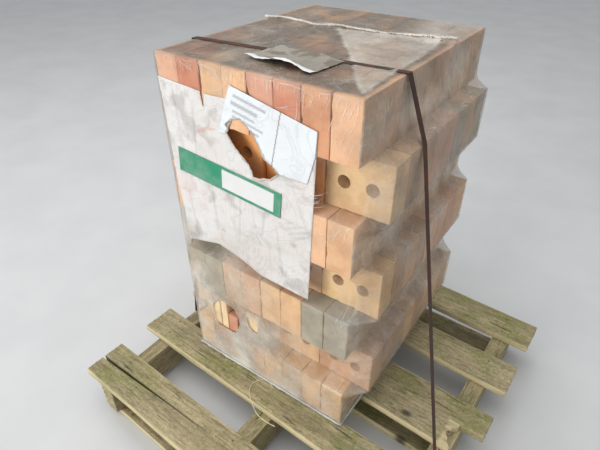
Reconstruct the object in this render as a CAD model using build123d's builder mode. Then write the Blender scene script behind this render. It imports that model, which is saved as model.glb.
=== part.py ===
"""Pallet of bored firebricks under shrink film, with a steel strap and its papers.

The origin is the middle of the ground under the whole load. X runs along the deck
boards, Y runs along the stringers towards the back, and Z is up. The stack stands
a little turned and off centre on its pallet.
"""

from build123d import *
from math import cos, radians, sin
import os

# Bricks and how they are laid
brick_length = 146.4
brick_thickness = 60.9
brick_height = 125.0
brick_joint = 0.6
side_count = 8
end_count = 4
layer_count = 7
bore_diameter = 28.0
bore_spacing = 62.0
bore_sides = 16

# Pallet
deck_length = 1000.0
deck_thickness = 22.0
deck_widths = (122.0, 100.0, 157.0, 110.0, 110.0)
deck_gaps = (90.0, 97.0, 92.0, 91.0)
stringer_width = 48.0
stringer_height = 100.0
deck_overhang = 58.0
bottom_thickness = 22.0
bottom_width = 100.0
bottom_inset = 12.0

# Damage to the deck: a lengthwise split in the first board, a lost corner on the third
split_from_edge = 53.0
split_mouth = 11.0
split_length = 424.0
split_drift = 22.0
lost_strip_width = 82.0
lost_strip_length = 62.0
break_slant = 24.0

# Where the stack stands on the deck
stack_x = -69.8
stack_y = 97.2
stack_turn = 2.2

# Film
film_thickness = 0.8
film_side_clearance = 1.1
film_top_clearance = 0.3
film_lift = 2.0
film_dip = 42.0
film_dip_steps = ((0.13, 0.75), (0.45, 1.0), (0.78, 0.65))
film_dip_foot_steps = ((0.2, 1.1), (0.45, 1.0), (0.78, 0.65))
film_dip_top_steps = ((0.13, 0.75), (0.5, 1.0), (0.8, 1.1))
flat_front_end = 168.0
draw_in_run = 22.0

# Tears, as points on the front across from the stack's middle and up from the deck
label_tear_points = (
    (-58, 741), (-43, 772), (-20, 780), (9, 761), (23, 738), (36, 711), (60, 700),
    (70, 689), (48, 670), (7, 660), (-1, 681), (-13, 695), (-35, 713),
)
low_tear_points = (
    ((-178, 204), (-135, 238), (-83, 224), (-78, 174), (-96, 134), (-135, 126), (-168, 134)),
    ((-52, 224), (-31, 232), (-13, 199), (-21, 178), (-45, 186)),
)

# Papers
paper_thickness = 0.4
paper_clearance = 0.3
printed_sheet_points = (
    (-245, 824), (-240, 740), (-236, 563), (-228, 495), (-228, 406), (-120, 434),
    (-56, 420), (10, 396), (143, 392), (153, 625), (158, 746), (160, 799),
    (-50, 814), (-112, 812), (-118, 776), (-123, 815),
)
white_label_points = (
    (-40, 844), (-82, 737), *label_tear_points[:8], (140, 689), (157, 750), (161, 800),
)
lot_sticker_length = 292.0
lot_sticker_height = 60.0
lot_sticker_centre = (-70.0, 628.0)
lot_sticker_tilt = -5.0
loose_sheet_width = 104.0
loose_sheet_thickness = 0.8
loose_sheet_centre = (33.0, -187.0)
loose_sheet_turn = -6.0
loose_sheet_wave = ((-83, 4.0), (-52, 0.5), (-22, 3.5), (14, 11.0), (50, 3.0), (68, 0.5), (83, 0.0))

# Strap
strap_width = 16.0
strap_thickness = 0.8
strap_clearance = 0.4
strap_left_y = -174.0
strap_right_y = -134.0
strap_left_gap_share = 0.69
strap_right_gap_share = 0.15
seal_length = 30.0
seal_wall = 1.0
seal_clearance = 0.3
seal_place = 0.62

# Worked out from the values above
deck_depth = sum(deck_widths) + sum(deck_gaps)
stringer_spacing = deck_length / 2 - deck_overhang - stringer_width / 2
deck_bottom = bottom_thickness + stringer_height
deck_top = deck_bottom + deck_thickness
side_pitch = brick_thickness + brick_joint
end_pitch = brick_length + brick_joint
narrow = (side_count * side_pitch - brick_joint) / 2
wide = (end_count * end_pitch - brick_joint) / 2
stack_height = layer_count * brick_height
stack_plane = Plane(
    origin=(stack_x, stack_y, deck_top),
    x_dir=(cos(radians(stack_turn)), sin(radians(stack_turn)), 0),
    z_dir=(0, 0, 1),
)
film_top = stack_height + film_top_clearance + film_thickness
film_front = wide + film_side_clearance + film_thickness


def save(builder, name):
    """Label a finished piece and write it."""
    builder.part.label = name
    export_step(builder.part, f"parts/{name}.step")


def board_front(number):
    """Y of the front edge of a deck board, the first one being number 0."""
    return -deck_depth / 2 + sum(deck_widths[:number]) + sum(deck_gaps[:number])


def in_plane(outer, inner):
    """A plane given in the coordinates of another plane."""
    return Plane(outer.location * inner.location)


def make_bottom_boards():
    """Three boards under the stringers, as long as the stringers are apart."""
    length = 2 * stringer_spacing + stringer_width
    reach = deck_depth / 2 - bottom_inset - bottom_width / 2
    for name, y in (("front", -reach), ("middle", 0), ("back", reach)):
        with BuildPart() as bottom_board:
            with BuildSketch(Plane((0, y, 0))):
                Rectangle(length, bottom_width)
            extrude(amount=bottom_thickness)
        save(bottom_board, f"bottom_board_{name}")


def make_stringers():
    """Three bearers on edge, from the front of the deck to its back."""
    for name, x in (("left", -stringer_spacing), ("middle", 0), ("right", stringer_spacing)):
        with BuildPart() as stringer:
            with BuildSketch(Plane((x, 0, bottom_thickness))):
                Rectangle(stringer_width, deck_depth)
            extrude(amount=stringer_height)
        save(stringer, f"stringer_{name}")


def make_deck_boards():
    """Five boards of uneven width across the stringers, with the damage of two of them."""
    damage = {0: split_points, 2: lost_corner_points}
    for number, width in enumerate(deck_widths):
        front = board_front(number)
        with BuildPart() as deck_board:
            with BuildSketch(Plane((0, front + width / 2, deck_bottom))):
                Rectangle(deck_length, width)
                if number in damage:
                    with BuildLine():
                        Polyline(*damage[number](width), close=True)
                    make_face(mode=Mode.SUBTRACT)
            extrude(amount=deck_thickness)
        save(deck_board, f"deck_board_{number + 1}")


def split_points(width):
    """Wedge-shaped split that opens at the board's left end."""
    start = -width / 2 + split_from_edge
    left = -deck_length / 2
    return [
        (left - 1, start),
        (left + split_length, start + split_drift),
        (left - 1, start + split_mouth),
    ]


def lost_corner_points(width):
    """Front strip that has broken off past the right stringer, with a slanted break."""
    front = -width / 2
    break_right = deck_length / 2 - lost_strip_length
    return [
        (deck_length / 2 + 1, front - 1),
        (break_right, front - 1),
        (break_right - break_slant, front + lost_strip_width / 2),
        (break_right, front + lost_strip_width),
        (deck_length / 2 + 1, front + lost_strip_width),
    ]


def make_brick_layers():
    """Layers of bricks on edge, each turned a quarter from the one below.

    The first layer is the lowest. Two bores go through each brick's thickness. They
    show only on the outermost bricks of a row, and only those bricks have them here,
    with flat sides to keep the faces few.
    """
    for number in range(1, layer_count + 1):
        turn = 0 if number % 2 else 90
        floor = Plane(Location((0, 0, (number - 1) * brick_height), (0, 0, turn)))
        layer_plane = in_plane(stack_plane, floor)
        with BuildPart() as brick_layer:
            with BuildSketch(layer_plane):
                with GridLocations(side_pitch, end_pitch, side_count, end_count):
                    Rectangle(brick_thickness, brick_length)
            extrude(amount=brick_height)
            for face_x in (narrow, brick_thickness - narrow):
                face = Plane((face_x, 0, brick_height / 2), x_dir=(0, 1, 0), z_dir=(1, 0, 0))
                with BuildSketch(in_plane(layer_plane, face)):
                    with GridLocations(end_pitch, 1, end_count, 1):
                        with GridLocations(bore_spacing, 1, 2, 1):
                            RegularPolygon(bore_diameter / 2, bore_sides)
                extrude(amount=-brick_thickness, mode=Mode.SUBTRACT)
        save(brick_layer, f"brick_layer_{number}")


def film_outline(side_reach, end_reach, grow):
    """Corner points of the film at one height, going round from the front right.

    side_reach is how far it stands out to the left and right, end_reach to the back
    and to the front right. Over the printed sheet its front stays flat.
    """
    side = side_reach + grow
    end = end_reach + grow
    near = narrow + grow
    flat = -(wide + grow)
    return [
        (near, -end), (side, -near), (side, near), (near, end), (-near, end),
        (-side, near), (-side, -near), (-near, flat), (flat_front_end, flat),
        (flat_front_end + draw_in_run, -end),
    ]


def film_sections(grow, top):
    """Outlines from the film's foot to its top, dipping between the layers that stand out."""
    steps = [film_dip_foot_steps, *[film_dip_steps] * (layer_count - 2), film_dip_top_steps]
    levels = [(film_lift, narrow, wide)]
    for number in range(layer_count):
        for share, depth in steps[number]:
            height = (number + share) * brick_height
            dipped = wide - film_dip * depth
            if number % 2:
                levels.append((height, wide, dipped))
            else:
                levels.append((height, dipped, wide))
        levels.append(((number + 1) * brick_height, wide, wide))
    levels[-1] = (top, narrow, wide)
    return [
        [
            stack_plane.from_local_coords((x, y, height))
            for x, y in film_outline(side_reach, end_reach, grow)
        ]
        for height, side_reach, end_reach in levels
    ]


def flat_faced_solid(sections):
    """Solid through sections of equal point count, its sides made of triangles."""
    count = len(sections[0])
    outlines = [sections[0], sections[-1]]
    for near, far in zip(sections, sections[1:]):
        for number in range(count):
            following = (number + 1) % count
            outlines.append((near[number], near[following], far[following]))
            outlines.append((near[number], far[following], far[number]))
    faces = [Face(Wire.make_polygon(outline, close=True)) for outline in outlines]
    return Solid(Shell(faces))


def make_shrink_film():
    """Film round the stack and over its top, open below and torn on the front."""
    outside = film_sections(film_side_clearance + film_thickness, film_top)
    inside = film_sections(film_side_clearance, film_top - film_thickness)
    with BuildPart() as shrink_film:
        add(flat_faced_solid(outside))
        add(flat_faced_solid(inside), mode=Mode.SUBTRACT)
        for points in (label_tear_points, *low_tear_points):
            with BuildSketch(front_plane(wide)):
                with BuildLine():
                    Polyline(*points, close=True)
                make_face()
            extrude(amount=film_front - wide + film_side_clearance, mode=Mode.SUBTRACT)
    save(shrink_film, "shrink_film")


def front_plane(distance, centre=(0, 0), tilt=0):
    """Upright plane in front of the stack, facing forward, X to the right."""
    upright = Plane(Location((centre[0], -distance, centre[1]), (90, 0, 0)))
    return in_plane(in_plane(stack_plane, upright), Plane(Location((0, 0, 0), (0, 0, tilt))))


def make_papers_on_front():
    """Printed sheet behind the film, torn with it, and the label and the sticker on it."""
    with BuildPart() as printed_sheet:
        with BuildSketch(front_plane(wide + paper_clearance)):
            with BuildLine():
                Polyline(*printed_sheet_points, close=True)
            make_face()
            with BuildLine():
                Polyline(*label_tear_points, close=True)
            make_face(mode=Mode.SUBTRACT)
        extrude(amount=paper_thickness)
    save(printed_sheet, "printed_sheet")

    with BuildPart() as white_label:
        with BuildSketch(front_plane(film_front + paper_clearance)):
            with BuildLine():
                Polyline(*white_label_points, close=True)
            make_face()
        extrude(amount=paper_thickness)
    save(white_label, "white_label")

    with BuildPart() as lot_sticker:
        outside = front_plane(film_front + paper_clearance, lot_sticker_centre, lot_sticker_tilt)
        with BuildSketch(outside):
            Rectangle(lot_sticker_length, lot_sticker_height)
        extrude(amount=paper_thickness)
    save(lot_sticker, "lot_sticker")


def make_loose_sheet():
    """Curled sheet that lies on the film and over the strap."""
    seat = film_top + strap_clearance + strap_thickness + paper_clearance
    upright = Plane(Location((*loose_sheet_centre, seat), (0, 0, loose_sheet_turn)))
    profile = in_plane(upright, Plane(Location((0, loose_sheet_width / 2, 0), (90, 0, 0))))
    with BuildPart() as loose_sheet:
        with BuildSketch(in_plane(stack_plane, profile)):
            with BuildLine():
                ends = []
                for lift in (0, loose_sheet_thickness):
                    points = [(x, rise + lift) for x, rise in loose_sheet_wave]
                    for start, middle, end in zip(points[::2], points[1::2], points[2::2]):
                        ThreePointArc(start, middle, end)
                    ends.append((points[0], points[-1]))
                for under, over in zip(*ends):
                    Line(under, over)
            make_face()
        extrude(amount=loose_sheet_width)
    save(loose_sheet, "loose_sheet")


def strap_corners():
    """Points that the strap's middle line goes round, from the top left on."""
    off = strap_clearance + strap_thickness / 2
    top = film_top + off
    edge = narrow + film_side_clearance + film_thickness + off
    ledge = wide + film_side_clearance + film_thickness + off
    ledge_height = (layer_count - 1) * brick_height
    beside = stringer_spacing + stringer_width / 2 + off
    under = bottom_thickness - off
    gap_start = board_front(1) + deck_widths[1] + strap_width / 2
    gap_run = deck_gaps[1] - strap_width
    left_y = gap_start + strap_left_gap_share * gap_run
    right_y = gap_start + strap_right_gap_share * gap_run
    on_stack = [
        (-edge, strap_left_y, top), (edge, strap_right_y, top),
        (ledge, strap_right_y, ledge_height), (-ledge, strap_left_y, ledge_height),
    ]
    top_left, top_right, ledge_right, ledge_left = [
        stack_plane.from_local_coords(point) for point in on_stack
    ]
    return [
        top_left, top_right, ledge_right,
        Vector(beside, right_y, deck_bottom), Vector(beside, right_y, under),
        Vector(-beside, left_y, under), Vector(-beside, left_y, deck_bottom),
        ledge_left,
    ]


def strap_section(arriving, corner, leaving):
    """Four corners of the strap's section at a point of its route, mitred at a turn.

    The strap lies flat across Y all the way, so its broad faces have no twist.
    """
    flat_arriving = Vector(arriving.X, 0, arriving.Z).normalized()
    flat_leaving = Vector(leaving.X, 0, leaving.Z).normalized()
    along = (flat_arriving + flat_leaving).normalized()
    out = along.cross(Vector(0, 1, 0)) * (strap_thickness / along.dot(flat_leaving) / 2)
    across = Vector(0, strap_width / 2, 0)
    return [corner - across - out, corner + across - out, corner + across + out, corner - across + out]


def make_strap():
    """Steel strap round the stack and the stringers, its ends meeting in a seal."""
    corners = strap_corners()
    lower, upper = corners[-2], corners[-1]
    along = (upper - lower).normalized()
    across = (Vector(0, 1, 0) - along * along.Y).normalized()
    seal_middle = lower + (upper - lower) * seal_place
    start = seal_middle + along * seal_clearance / 2
    end = seal_middle - along * seal_clearance / 2
    route = [start, upper, *corners[:-1], end]
    runs = [(after - before).normalized() for before, after in zip(route, route[1:])]
    arriving = [runs[0], *runs]
    leaving = [*runs, runs[-1]]
    with BuildPart() as steel_strap:
        add(flat_faced_solid([strap_section(*turn) for turn in zip(arriving, route, leaving)]))
    save(steel_strap, "steel_strap")

    bore_width = strap_width + 2 * seal_clearance
    bore_height = strap_thickness + 2 * seal_clearance
    with BuildPart() as strap_seal:
        with BuildSketch(Plane(seal_middle, x_dir=across, z_dir=along)):
            Rectangle(bore_width + 2 * seal_wall, bore_height + 2 * seal_wall)
            Rectangle(bore_width, bore_height, mode=Mode.SUBTRACT)
        extrude(amount=seal_length / 2, both=True)
    save(strap_seal, "strap_seal")


os.makedirs("parts", exist_ok=True)
make_bottom_boards()
make_stringers()
make_deck_boards()
make_brick_layers()
make_shrink_film()
make_papers_on_front()
make_loose_sheet()
make_strap()
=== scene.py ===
"""Looks of a pallet load of bored firebricks under dusty shrink film."""

import math
import random

import bmesh
import bpy
from bpy.props import FloatProperty, FloatVectorProperty, IntProperty, PointerProperty
from mathutils import Matrix, Vector, noise


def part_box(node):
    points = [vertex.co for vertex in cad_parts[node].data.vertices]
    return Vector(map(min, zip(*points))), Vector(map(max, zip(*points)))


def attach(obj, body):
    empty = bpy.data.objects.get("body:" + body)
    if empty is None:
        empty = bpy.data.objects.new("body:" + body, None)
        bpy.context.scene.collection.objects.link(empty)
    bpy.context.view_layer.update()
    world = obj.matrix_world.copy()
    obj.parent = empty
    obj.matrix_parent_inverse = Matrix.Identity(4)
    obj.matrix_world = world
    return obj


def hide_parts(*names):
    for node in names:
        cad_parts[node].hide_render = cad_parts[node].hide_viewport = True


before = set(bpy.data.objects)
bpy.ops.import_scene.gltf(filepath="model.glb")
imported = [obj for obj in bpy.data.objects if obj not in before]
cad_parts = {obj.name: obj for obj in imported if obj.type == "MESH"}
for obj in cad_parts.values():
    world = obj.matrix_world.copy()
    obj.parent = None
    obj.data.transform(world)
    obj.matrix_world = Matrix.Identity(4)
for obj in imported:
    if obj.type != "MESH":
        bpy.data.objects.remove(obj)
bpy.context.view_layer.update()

bl_info = {
    "name": "Pallet of Bricks",
    "version": (1, 0, 0),
    "blender": (4, 5, 0),
    "location": "View3D > Sidebar > Brick Load",
    "description": "Dresses a strapped and wrapped load of bricks on its pallet",
    "category": "Object",
}

MM = 0.001

# The stack as it stands on the pallet, in millimetres
STACK_X = -69.8
STACK_Y = 97.2
STACK_TURN = math.radians(2.2)
LAYER_COUNT = 7
SIDE_COUNT = 8
END_COUNT = 4
BRICK_JOINT = 0.6
SIDE_PITCH = 61.5
END_PITCH = 147.0
LOWEST_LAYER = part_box("brick_layer_1")
DECK_TOP = LOWEST_LAYER[0].z / MM
BRICK_HEIGHT = (LOWEST_LAYER[1].z - LOWEST_LAYER[0].z) / MM
STACK_HEIGHT = LAYER_COUNT * BRICK_HEIGHT
NARROW = (SIDE_COUNT * SIDE_PITCH - BRICK_JOINT) / 2
WIDE = (END_COUNT * END_PITCH - BRICK_JOINT) / 2
BRICK_LENGTH = END_PITCH - BRICK_JOINT
BRICK_THICKNESS = SIDE_PITCH - BRICK_JOINT
BORE_RADIUS = 14.0
BORE_SPACING = 62.0
BORE_LIP = 1.2
PATCH = 19.0

# The film's taut shape, as in the frame
FILM_OUT = 1.9
FILM_SKIN = 1.1
FILM_FOOT = 2.0
FILM_TOP = STACK_HEIGHT + 1.1
FILM_DIP = 42.0
FILM_DIP_STEPS = ((0.13, 0.75), (0.45, 1.0), (0.78, 0.65))
FILM_DIP_FOOT_STEPS = ((0.2, 1.1), (0.45, 1.0), (0.78, 0.65))
FILM_DIP_TOP_STEPS = ((0.13, 0.75), (0.5, 1.0), (0.8, 1.1))
FLAT_FRONT_END = 168.0
DRAW_IN_RUN = 22.0

# Outlines on the front: across from the stack's middle, and up from the deck
LABEL_TEAR = (
    (-58, 741), (-43, 772), (-20, 780), (9, 761), (23, 738), (36, 711), (60, 700),
    (70, 689), (48, 670), (7, 660), (-1, 681), (-13, 695), (-35, 713),
)
LOW_TEARS = (
    ((-178, 204), (-135, 238), (-83, 224), (-78, 174), (-96, 134), (-135, 126), (-168, 134)),
    ((-52, 224), (-31, 232), (-13, 199), (-21, 178), (-45, 186)),
)
SHEET_OUTLINE = (
    (-245, 824), (-240, 740), (-236, 563), (-228, 495), (-228, 406), (-120, 434),
    (-56, 420), (10, 396), (143, 392), (153, 625), (158, 746), (160, 799),
    (-50, 814), (-112, 812), (-118, 776), (-123, 815),
)
LABEL_OUTLINE = ((-40, 844), (-82, 737), *LABEL_TEAR[:8], (140, 689), (157, 750), (161, 800))
LABEL_CORNER = (-40.0, 844.0)
LABEL_SLANT = math.radians(-12.3)
LABEL_RULES = ((-13, -19, 12, 92), (-28, -36, 8, 74), (-45, -50, 14, 70), (-57, -62, 14, 92), (-69, -74, 30, 84))
RULE_SOFTNESS = 2.4
# Curled edge of the label's tear, painted as a dark line of shade.
LABEL_CURL_SHADE = ((-57, 760), (-40, 774), (-50, 755))
STICKER_CENTRE = (-70.0, 628.0)
STICKER_TILT = math.radians(-5.0)
STICKER_SIZE = (292.0, 60.0)
STICKER_PANEL = (-16.0, 126.0, -24.0, 23.0)
SHEET_GAP = 0.3
LABEL_GAP = 0.4

# Where the film is milky on the front: across, up, reach and strength
MILKY_PATCHES = (
    (-205, 220, 130, 0.95), (-110, 90, 150, 1.0), (-20, 170, 120, 0.9), (80, 60, 120, 0.65),
    (-60, 330, 120, 0.6), (110, 220, 110, 0.45), (180, 60, 90, 0.45), (-235, 400, 60, 0.7),
    (-238, 110, 80, 0.95),
)

# On the top: the gathered seam, its bulge at the right edge, and the doubled flap of film
SEAM = (
    (-247, 76), (-195, 89), (-145, 83), (-91, 69), (-36, 92), (26, 88), (87, 86),
    (118, 97), (165, 98), (216, 92), (246, 101),
)
SEAM_BULGE = (98.0, 17.0, 8.0)
FLAP = (
    (-39, 80), (-19, 70), (122, 89), (216, 92), (224, -24), (227, -131), (230, -196),
    (232, -280), (162, -187), (103, -97), (43, -19),
)

# The loose sheet on the top
LOOSE_WAVE = ((-83, 4.0), (-52, 0.5), (-22, 3.5), (14, 11.0), (50, 3.0), (68, 0.5), (83, 0.0))
LOOSE_CENTRE = (33.0, -187.0)
LOOSE_TURN = math.radians(-6.0)
LOOSE_SIZE = (166.0, 104.0)
LOOSE_SEAT = FILM_TOP + 1.6
LOOSE_TOP = 12.2

# Damage to the deck boards, and a knot on the third
SPLIT_FROM_EDGE = 53.0
SPLIT_MOUTH = 8.0
SPLIT_LENGTH = 424.0
SPLIT_DRIFT = 22.0
LOST_WIDTH = 82.0
LOST_LENGTH = 62.0
BREAK_SLANT = 24.0
KNOT = (308.0, -48.0, 10.0)

# Camera solved from the stack's corners in the photograph
PHOTO_WIDTH = 600
FOCAL_PIXELS = 477.67
CAMERA_FROM_CORNER = (333.95, -645.11, 1141.52)
CAMERA_AZIMUTH = math.radians(35.399)
CAMERA_ELEVATION = math.radians(34.992)
CAMERA_ROLL = math.radians(0.148)
SENSOR = 36.0


def srgb(red, green, blue):
    """Linear colour of a colour read as 0 to 255."""
    channels = []
    for value in (red, green, blue):
        share = value / 255
        channels.append(share / 12.92 if share <= 0.04045 else ((share + 0.055) / 1.055) ** 2.4)
    return tuple(channels)


def stack_point(x, y, z):
    """Place in metres of a point given in the stack's own millimetres."""
    return Vector((
        (STACK_X + x * math.cos(STACK_TURN) - y * math.sin(STACK_TURN)) * MM,
        (STACK_Y + x * math.sin(STACK_TURN) + y * math.cos(STACK_TURN)) * MM,
        (DECK_TOP + z) * MM,
    ))


def wave(x, y, z, scale, octaves=3):
    """Smooth noise, about -1 to 1, of a point in millimetres."""
    return noise.fractal(Vector((x, y, z)) * scale, 1.0, 2.0, octaves)


def smooth_step(value, low, high):
    """0 below low, 1 above high, and smooth between."""
    share = min(max((value - low) / (high - low), 0.0), 1.0)
    return share * share * (3 - 2 * share)


def along(points, x):
    """Value at x of a line through points, eased between them."""
    for (ax, ay), (bx, by) in zip(points, points[1:]):
        if x <= bx:
            share = max((x - ax) / (bx - ax), 0.0)
            return ay + (by - ay) * share * share * (3 - 2 * share)
    return points[-1][1]


def inside(point, outline):
    """Whether a flat point lies in a closed outline."""
    x, y = point
    found = False
    for (ax, ay), (bx, by) in zip(outline, outline[1:] + outline[:1]):
        if (ay > y) != (by > y) and x < (bx - ax) * (y - ay) / (by - ay) + ax:
            found = not found
    return found


def nearest_on(point, outline):
    """Nearest point of a closed outline, and how far it is."""
    px, py = point
    best, least = None, math.inf
    for (ax, ay), (bx, by) in zip(outline, outline[1:] + outline[:1]):
        run_x, run_y = bx - ax, by - ay
        share = ((px - ax) * run_x + (py - ay) * run_y) / (run_x * run_x + run_y * run_y)
        share = min(max(share, 0.0), 1.0)
        x, y = ax + run_x * share, ay + run_y * share
        distance = math.hypot(px - x, py - y)
        if distance < least:
            best, least = (x, y), distance
    return best, least


def ragged(outline, step, depth):
    """Outline with points every step, moved about by as much as depth."""
    points = []
    for a, b in zip(outline, outline[1:] + outline[:1]):
        run = Vector(b) - Vector(a)
        count = max(int(run.length / step), 1)
        for number in range(count):
            p = Vector(a) + run * (number / count)
            points.append((
                p.x + depth * wave(p.x, p.y, 1, 0.11), p.y + depth * wave(p.x, p.y, 5, 0.11),
            ))
    return tuple(points)


def rounded(outline):
    """Outline with its corners cut off twice over."""
    for times in range(2):
        cut = []
        for a, b in zip(outline, outline[1:] + outline[:1]):
            a, b = Vector(a), Vector(b)
            cut += [tuple(a * 0.78 + b * 0.22), tuple(a * 0.22 + b * 0.78)]
        outline = tuple(cut)
    return outline


TORN_OUTLINES = (
    ragged(LABEL_TEAR, 3.0, 2.6), *(ragged(rounded(outline), 3.0, 4.0) for outline in LOW_TEARS),
)
TORN_RIMS = (1.0, 0.5, 0.4)


# Pieces and meshes

def new_piece(name, mesh, material, replaced=()):
    """Object that rides on the load and takes a material and a slot."""
    piece = bpy.data.objects.new(name, mesh)
    bpy.context.scene.collection.objects.link(piece)
    mesh.materials.clear()
    mesh.materials.append(material)
    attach(piece, "root")
    if replaced:
        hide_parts(*replaced)
    return piece


def mesh_from(name, vertices, faces):
    """Smooth-shaded mesh of vertices in metres and faces."""
    mesh = bpy.data.meshes.new(name)
    mesh.from_pydata([tuple(v) for v in vertices], [], faces)
    mesh.update()
    mesh.shade_smooth()
    return mesh


def grid_faces(columns, rows):
    """Quads of a grid whose vertices run along its columns first."""
    wide = columns + 1
    return [
        (row * wide + k, row * wide + k + 1, (row + 1) * wide + k + 1, (row + 1) * wide + k)
        for row in range(rows) for k in range(columns)
    ]


def tube_faces(rings, sides, closed=False):
    """Quads of a tube made of rings, with its ends capped unless it is closed."""
    faces = []
    for ring in range(rings if closed else rings - 1):
        following = (ring + 1) % rings
        for k in range(sides):
            a, b = ring * sides, following * sides
            faces.append((a + k, a + (k + 1) % sides, b + (k + 1) % sides, b + k))
    if not closed:
        faces.append(tuple(reversed(range(sides))))
        faces.append(tuple(range((rings - 1) * sides, rings * sides)))
    return faces


def apply_modifiers(piece):
    """Bakes a piece's modifiers into its mesh."""
    graph = bpy.context.evaluated_depsgraph_get()
    made = bpy.data.meshes.new_from_object(piece.evaluated_get(graph))
    piece.modifiers.clear()
    piece.data = made


def give_thickness(piece, thickness):
    """Turns a surface into a thin sheet."""
    solid = piece.modifiers.new("thickness", "SOLIDIFY")
    solid.thickness = thickness * MM
    solid.offset = 0
    apply_modifiers(piece)


def keep_flats(piece):
    """Weighted normals, so that broad faces stay flat beside their rounded edges."""
    weighting = piece.modifiers.new("flats", "WEIGHTED_NORMAL")
    weighting.keep_sharp = True
    weighting.weight = 80
    apply_modifiers(piece)


def paint(mesh, **values):
    """Stores one float for each vertex under each name; a plain number goes to them all."""
    for name, found in values.items():
        layer = mesh.attributes.new(name, "FLOAT", "POINT")
        if isinstance(found, float):
            found = [found] * len(mesh.vertices)
        layer.data.foreach_set("value", found)


# Shader nodes

def new_group(name, inputs, outputs):
    """Empty node group with its sockets, and its two end nodes."""
    group = bpy.data.node_groups.new(name, "ShaderNodeTree")
    for title, kind, value in inputs:
        socket = group.interface.new_socket(title, in_out="INPUT", socket_type=kind)
        if value is not None:
            socket.default_value = value
    for title, kind in outputs:
        group.interface.new_socket(title, in_out="OUTPUT", socket_type=kind)
    return group, group.nodes.new("NodeGroupInput"), group.nodes.new("NodeGroupOutput")


def set_inputs(tree, node, values):
    """Links sockets to a node's inputs, and sets plain values on them."""
    for key, value in values.items():
        if isinstance(value, bpy.types.NodeSocket):
            tree.links.new(value, node.inputs[key])
        elif node.inputs[key].type == "RGBA":
            node.inputs[key].default_value = (*value[:3], 1)
        else:
            node.inputs[key].default_value = value


def put(tree, kind, values=None, **settings):
    """Adds a node with its properties and its inputs."""
    node = tree.nodes.new(kind)
    for key, value in settings.items():
        setattr(node, key, value)
    set_inputs(tree, node, values or {})
    return node


def sums(tree, operation, first, second=0.0, clamp=False):
    """Math node's value."""
    return put(tree, "ShaderNodeMath", {0: first, 1: second}, operation=operation, use_clamp=clamp).outputs[0]


def ramp(tree, value, low, high, start=0.0, end=1.0):
    """Value mapped smoothly from one range to another, held at the ends."""
    node = put(
        tree, "ShaderNodeMapRange", {0: value, 1: low, 2: high, 3: start, 4: end},
        interpolation_type="SMOOTHSTEP",
    )
    return node.outputs[0]


def blend(tree, share, first, second, kind="MIX"):
    """Two colours mixed by a share."""
    node = put(tree, "ShaderNodeMix", data_type="RGBA", blend_type=kind)
    set_inputs(tree, node, {0: share, 6: first, 7: second})
    return node.outputs[2]


def texture(tree, scale, detail=4.0, roughness=0.55, distortion=0.0, place=None):
    """Noise in the load's own space, or at a given place."""
    if place is None:
        place = tree.nodes.new("ShaderNodeTexCoord").outputs["Object"]
    return put(tree, "ShaderNodeTexNoise", {
        "Vector": place, "Scale": scale, "Detail": detail,
        "Roughness": roughness, "Distortion": distortion,
    }).outputs["Fac"]


def stretched(tree, stretch):
    """Place in the load's own space, scaled along its axes."""
    place = tree.nodes.new("ShaderNodeTexCoord").outputs["Object"]
    return put(tree, "ShaderNodeVectorMath", {0: place, 1: stretch}, operation="MULTIPLY").outputs[0]


def relief(tree, height, strength, distance):
    """Normal of a bump."""
    return put(tree, "ShaderNodeBump", {"Height": height, "Strength": strength, "Distance": distance}).outputs[0]


def read(tree, name, kind="Fac"):
    """Attribute stored on the mesh."""
    return put(tree, "ShaderNodeAttribute", attribute_name=name).outputs[kind]


def effect(tree, name, values):
    """Places a node group with its own values."""
    node = put(tree, "ShaderNodeGroup", node_tree=bpy.data.node_groups[name])
    set_inputs(tree, node, values)
    return node.outputs


def new_material(name, roughness):
    """Material with its tree, its shader and a plain roughness."""
    material = bpy.data.materials.new(name)
    material.use_nodes = True
    tree = material.node_tree
    shader = tree.nodes["Principled BSDF"]
    shader.inputs["Roughness"].default_value = roughness
    return material, tree, shader


def feed(tree, shader, **links):
    """Links values to the shader's inputs by name."""
    for title, value in links.items():
        tree.links.new(value, shader.inputs[title.replace("_", " ")])


def build_dust_group():
    """Patchy dust laid over a colour."""
    group, given, out = new_group(
        "Dust",
        (
            ("Color", "NodeSocketColor", None),
            ("Dust Color", "NodeSocketColor", None),
            ("Amount", "NodeSocketFloat", 0.3),
            ("Scale", "NodeSocketFloat", 8.0),
        ),
        (("Color", "NodeSocketColor"), ("Mask", "NodeSocketFloat")),
    )
    patches = texture(group, given.outputs["Scale"], 6.0, 0.65)
    mask = sums(group, "MULTIPLY", ramp(group, patches, 0.36, 0.66), given.outputs["Amount"], True)
    color = blend(group, mask, given.outputs["Color"], given.outputs["Dust Color"])
    set_inputs(group, out, {"Color": color, "Mask": mask})


def build_clay_group():
    """Fired clay: specks, pits and cloudy patches over a colour."""
    group, given, out = new_group(
        "Fired Clay",
        (
            ("Color", "NodeSocketColor", None),
            ("Patch Color", "NodeSocketColor", None),
            ("Speck Color", "NodeSocketColor", (0.16, 0.1, 0.07, 1)),
            ("Patches", "NodeSocketFloat", 0.35),
        ),
        (("Color", "NodeSocketColor"), ("Height", "NodeSocketFloat")),
    )
    clouds = ramp(group, texture(group, 20.0, 5.0), 0.4, 0.66)
    patch = sums(group, "MULTIPLY", clouds, given.outputs["Patches"])
    color = blend(group, patch, given.outputs["Color"], given.outputs["Patch Color"])
    speck = ramp(group, texture(group, 480.0, 2.0), 0.67, 0.75, 0.0, 0.55)
    color = blend(group, speck, color, given.outputs["Speck Color"])
    set_inputs(group, out, {"Color": color, "Height": texture(group, 150.0, 4.0, 0.7)})


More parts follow.
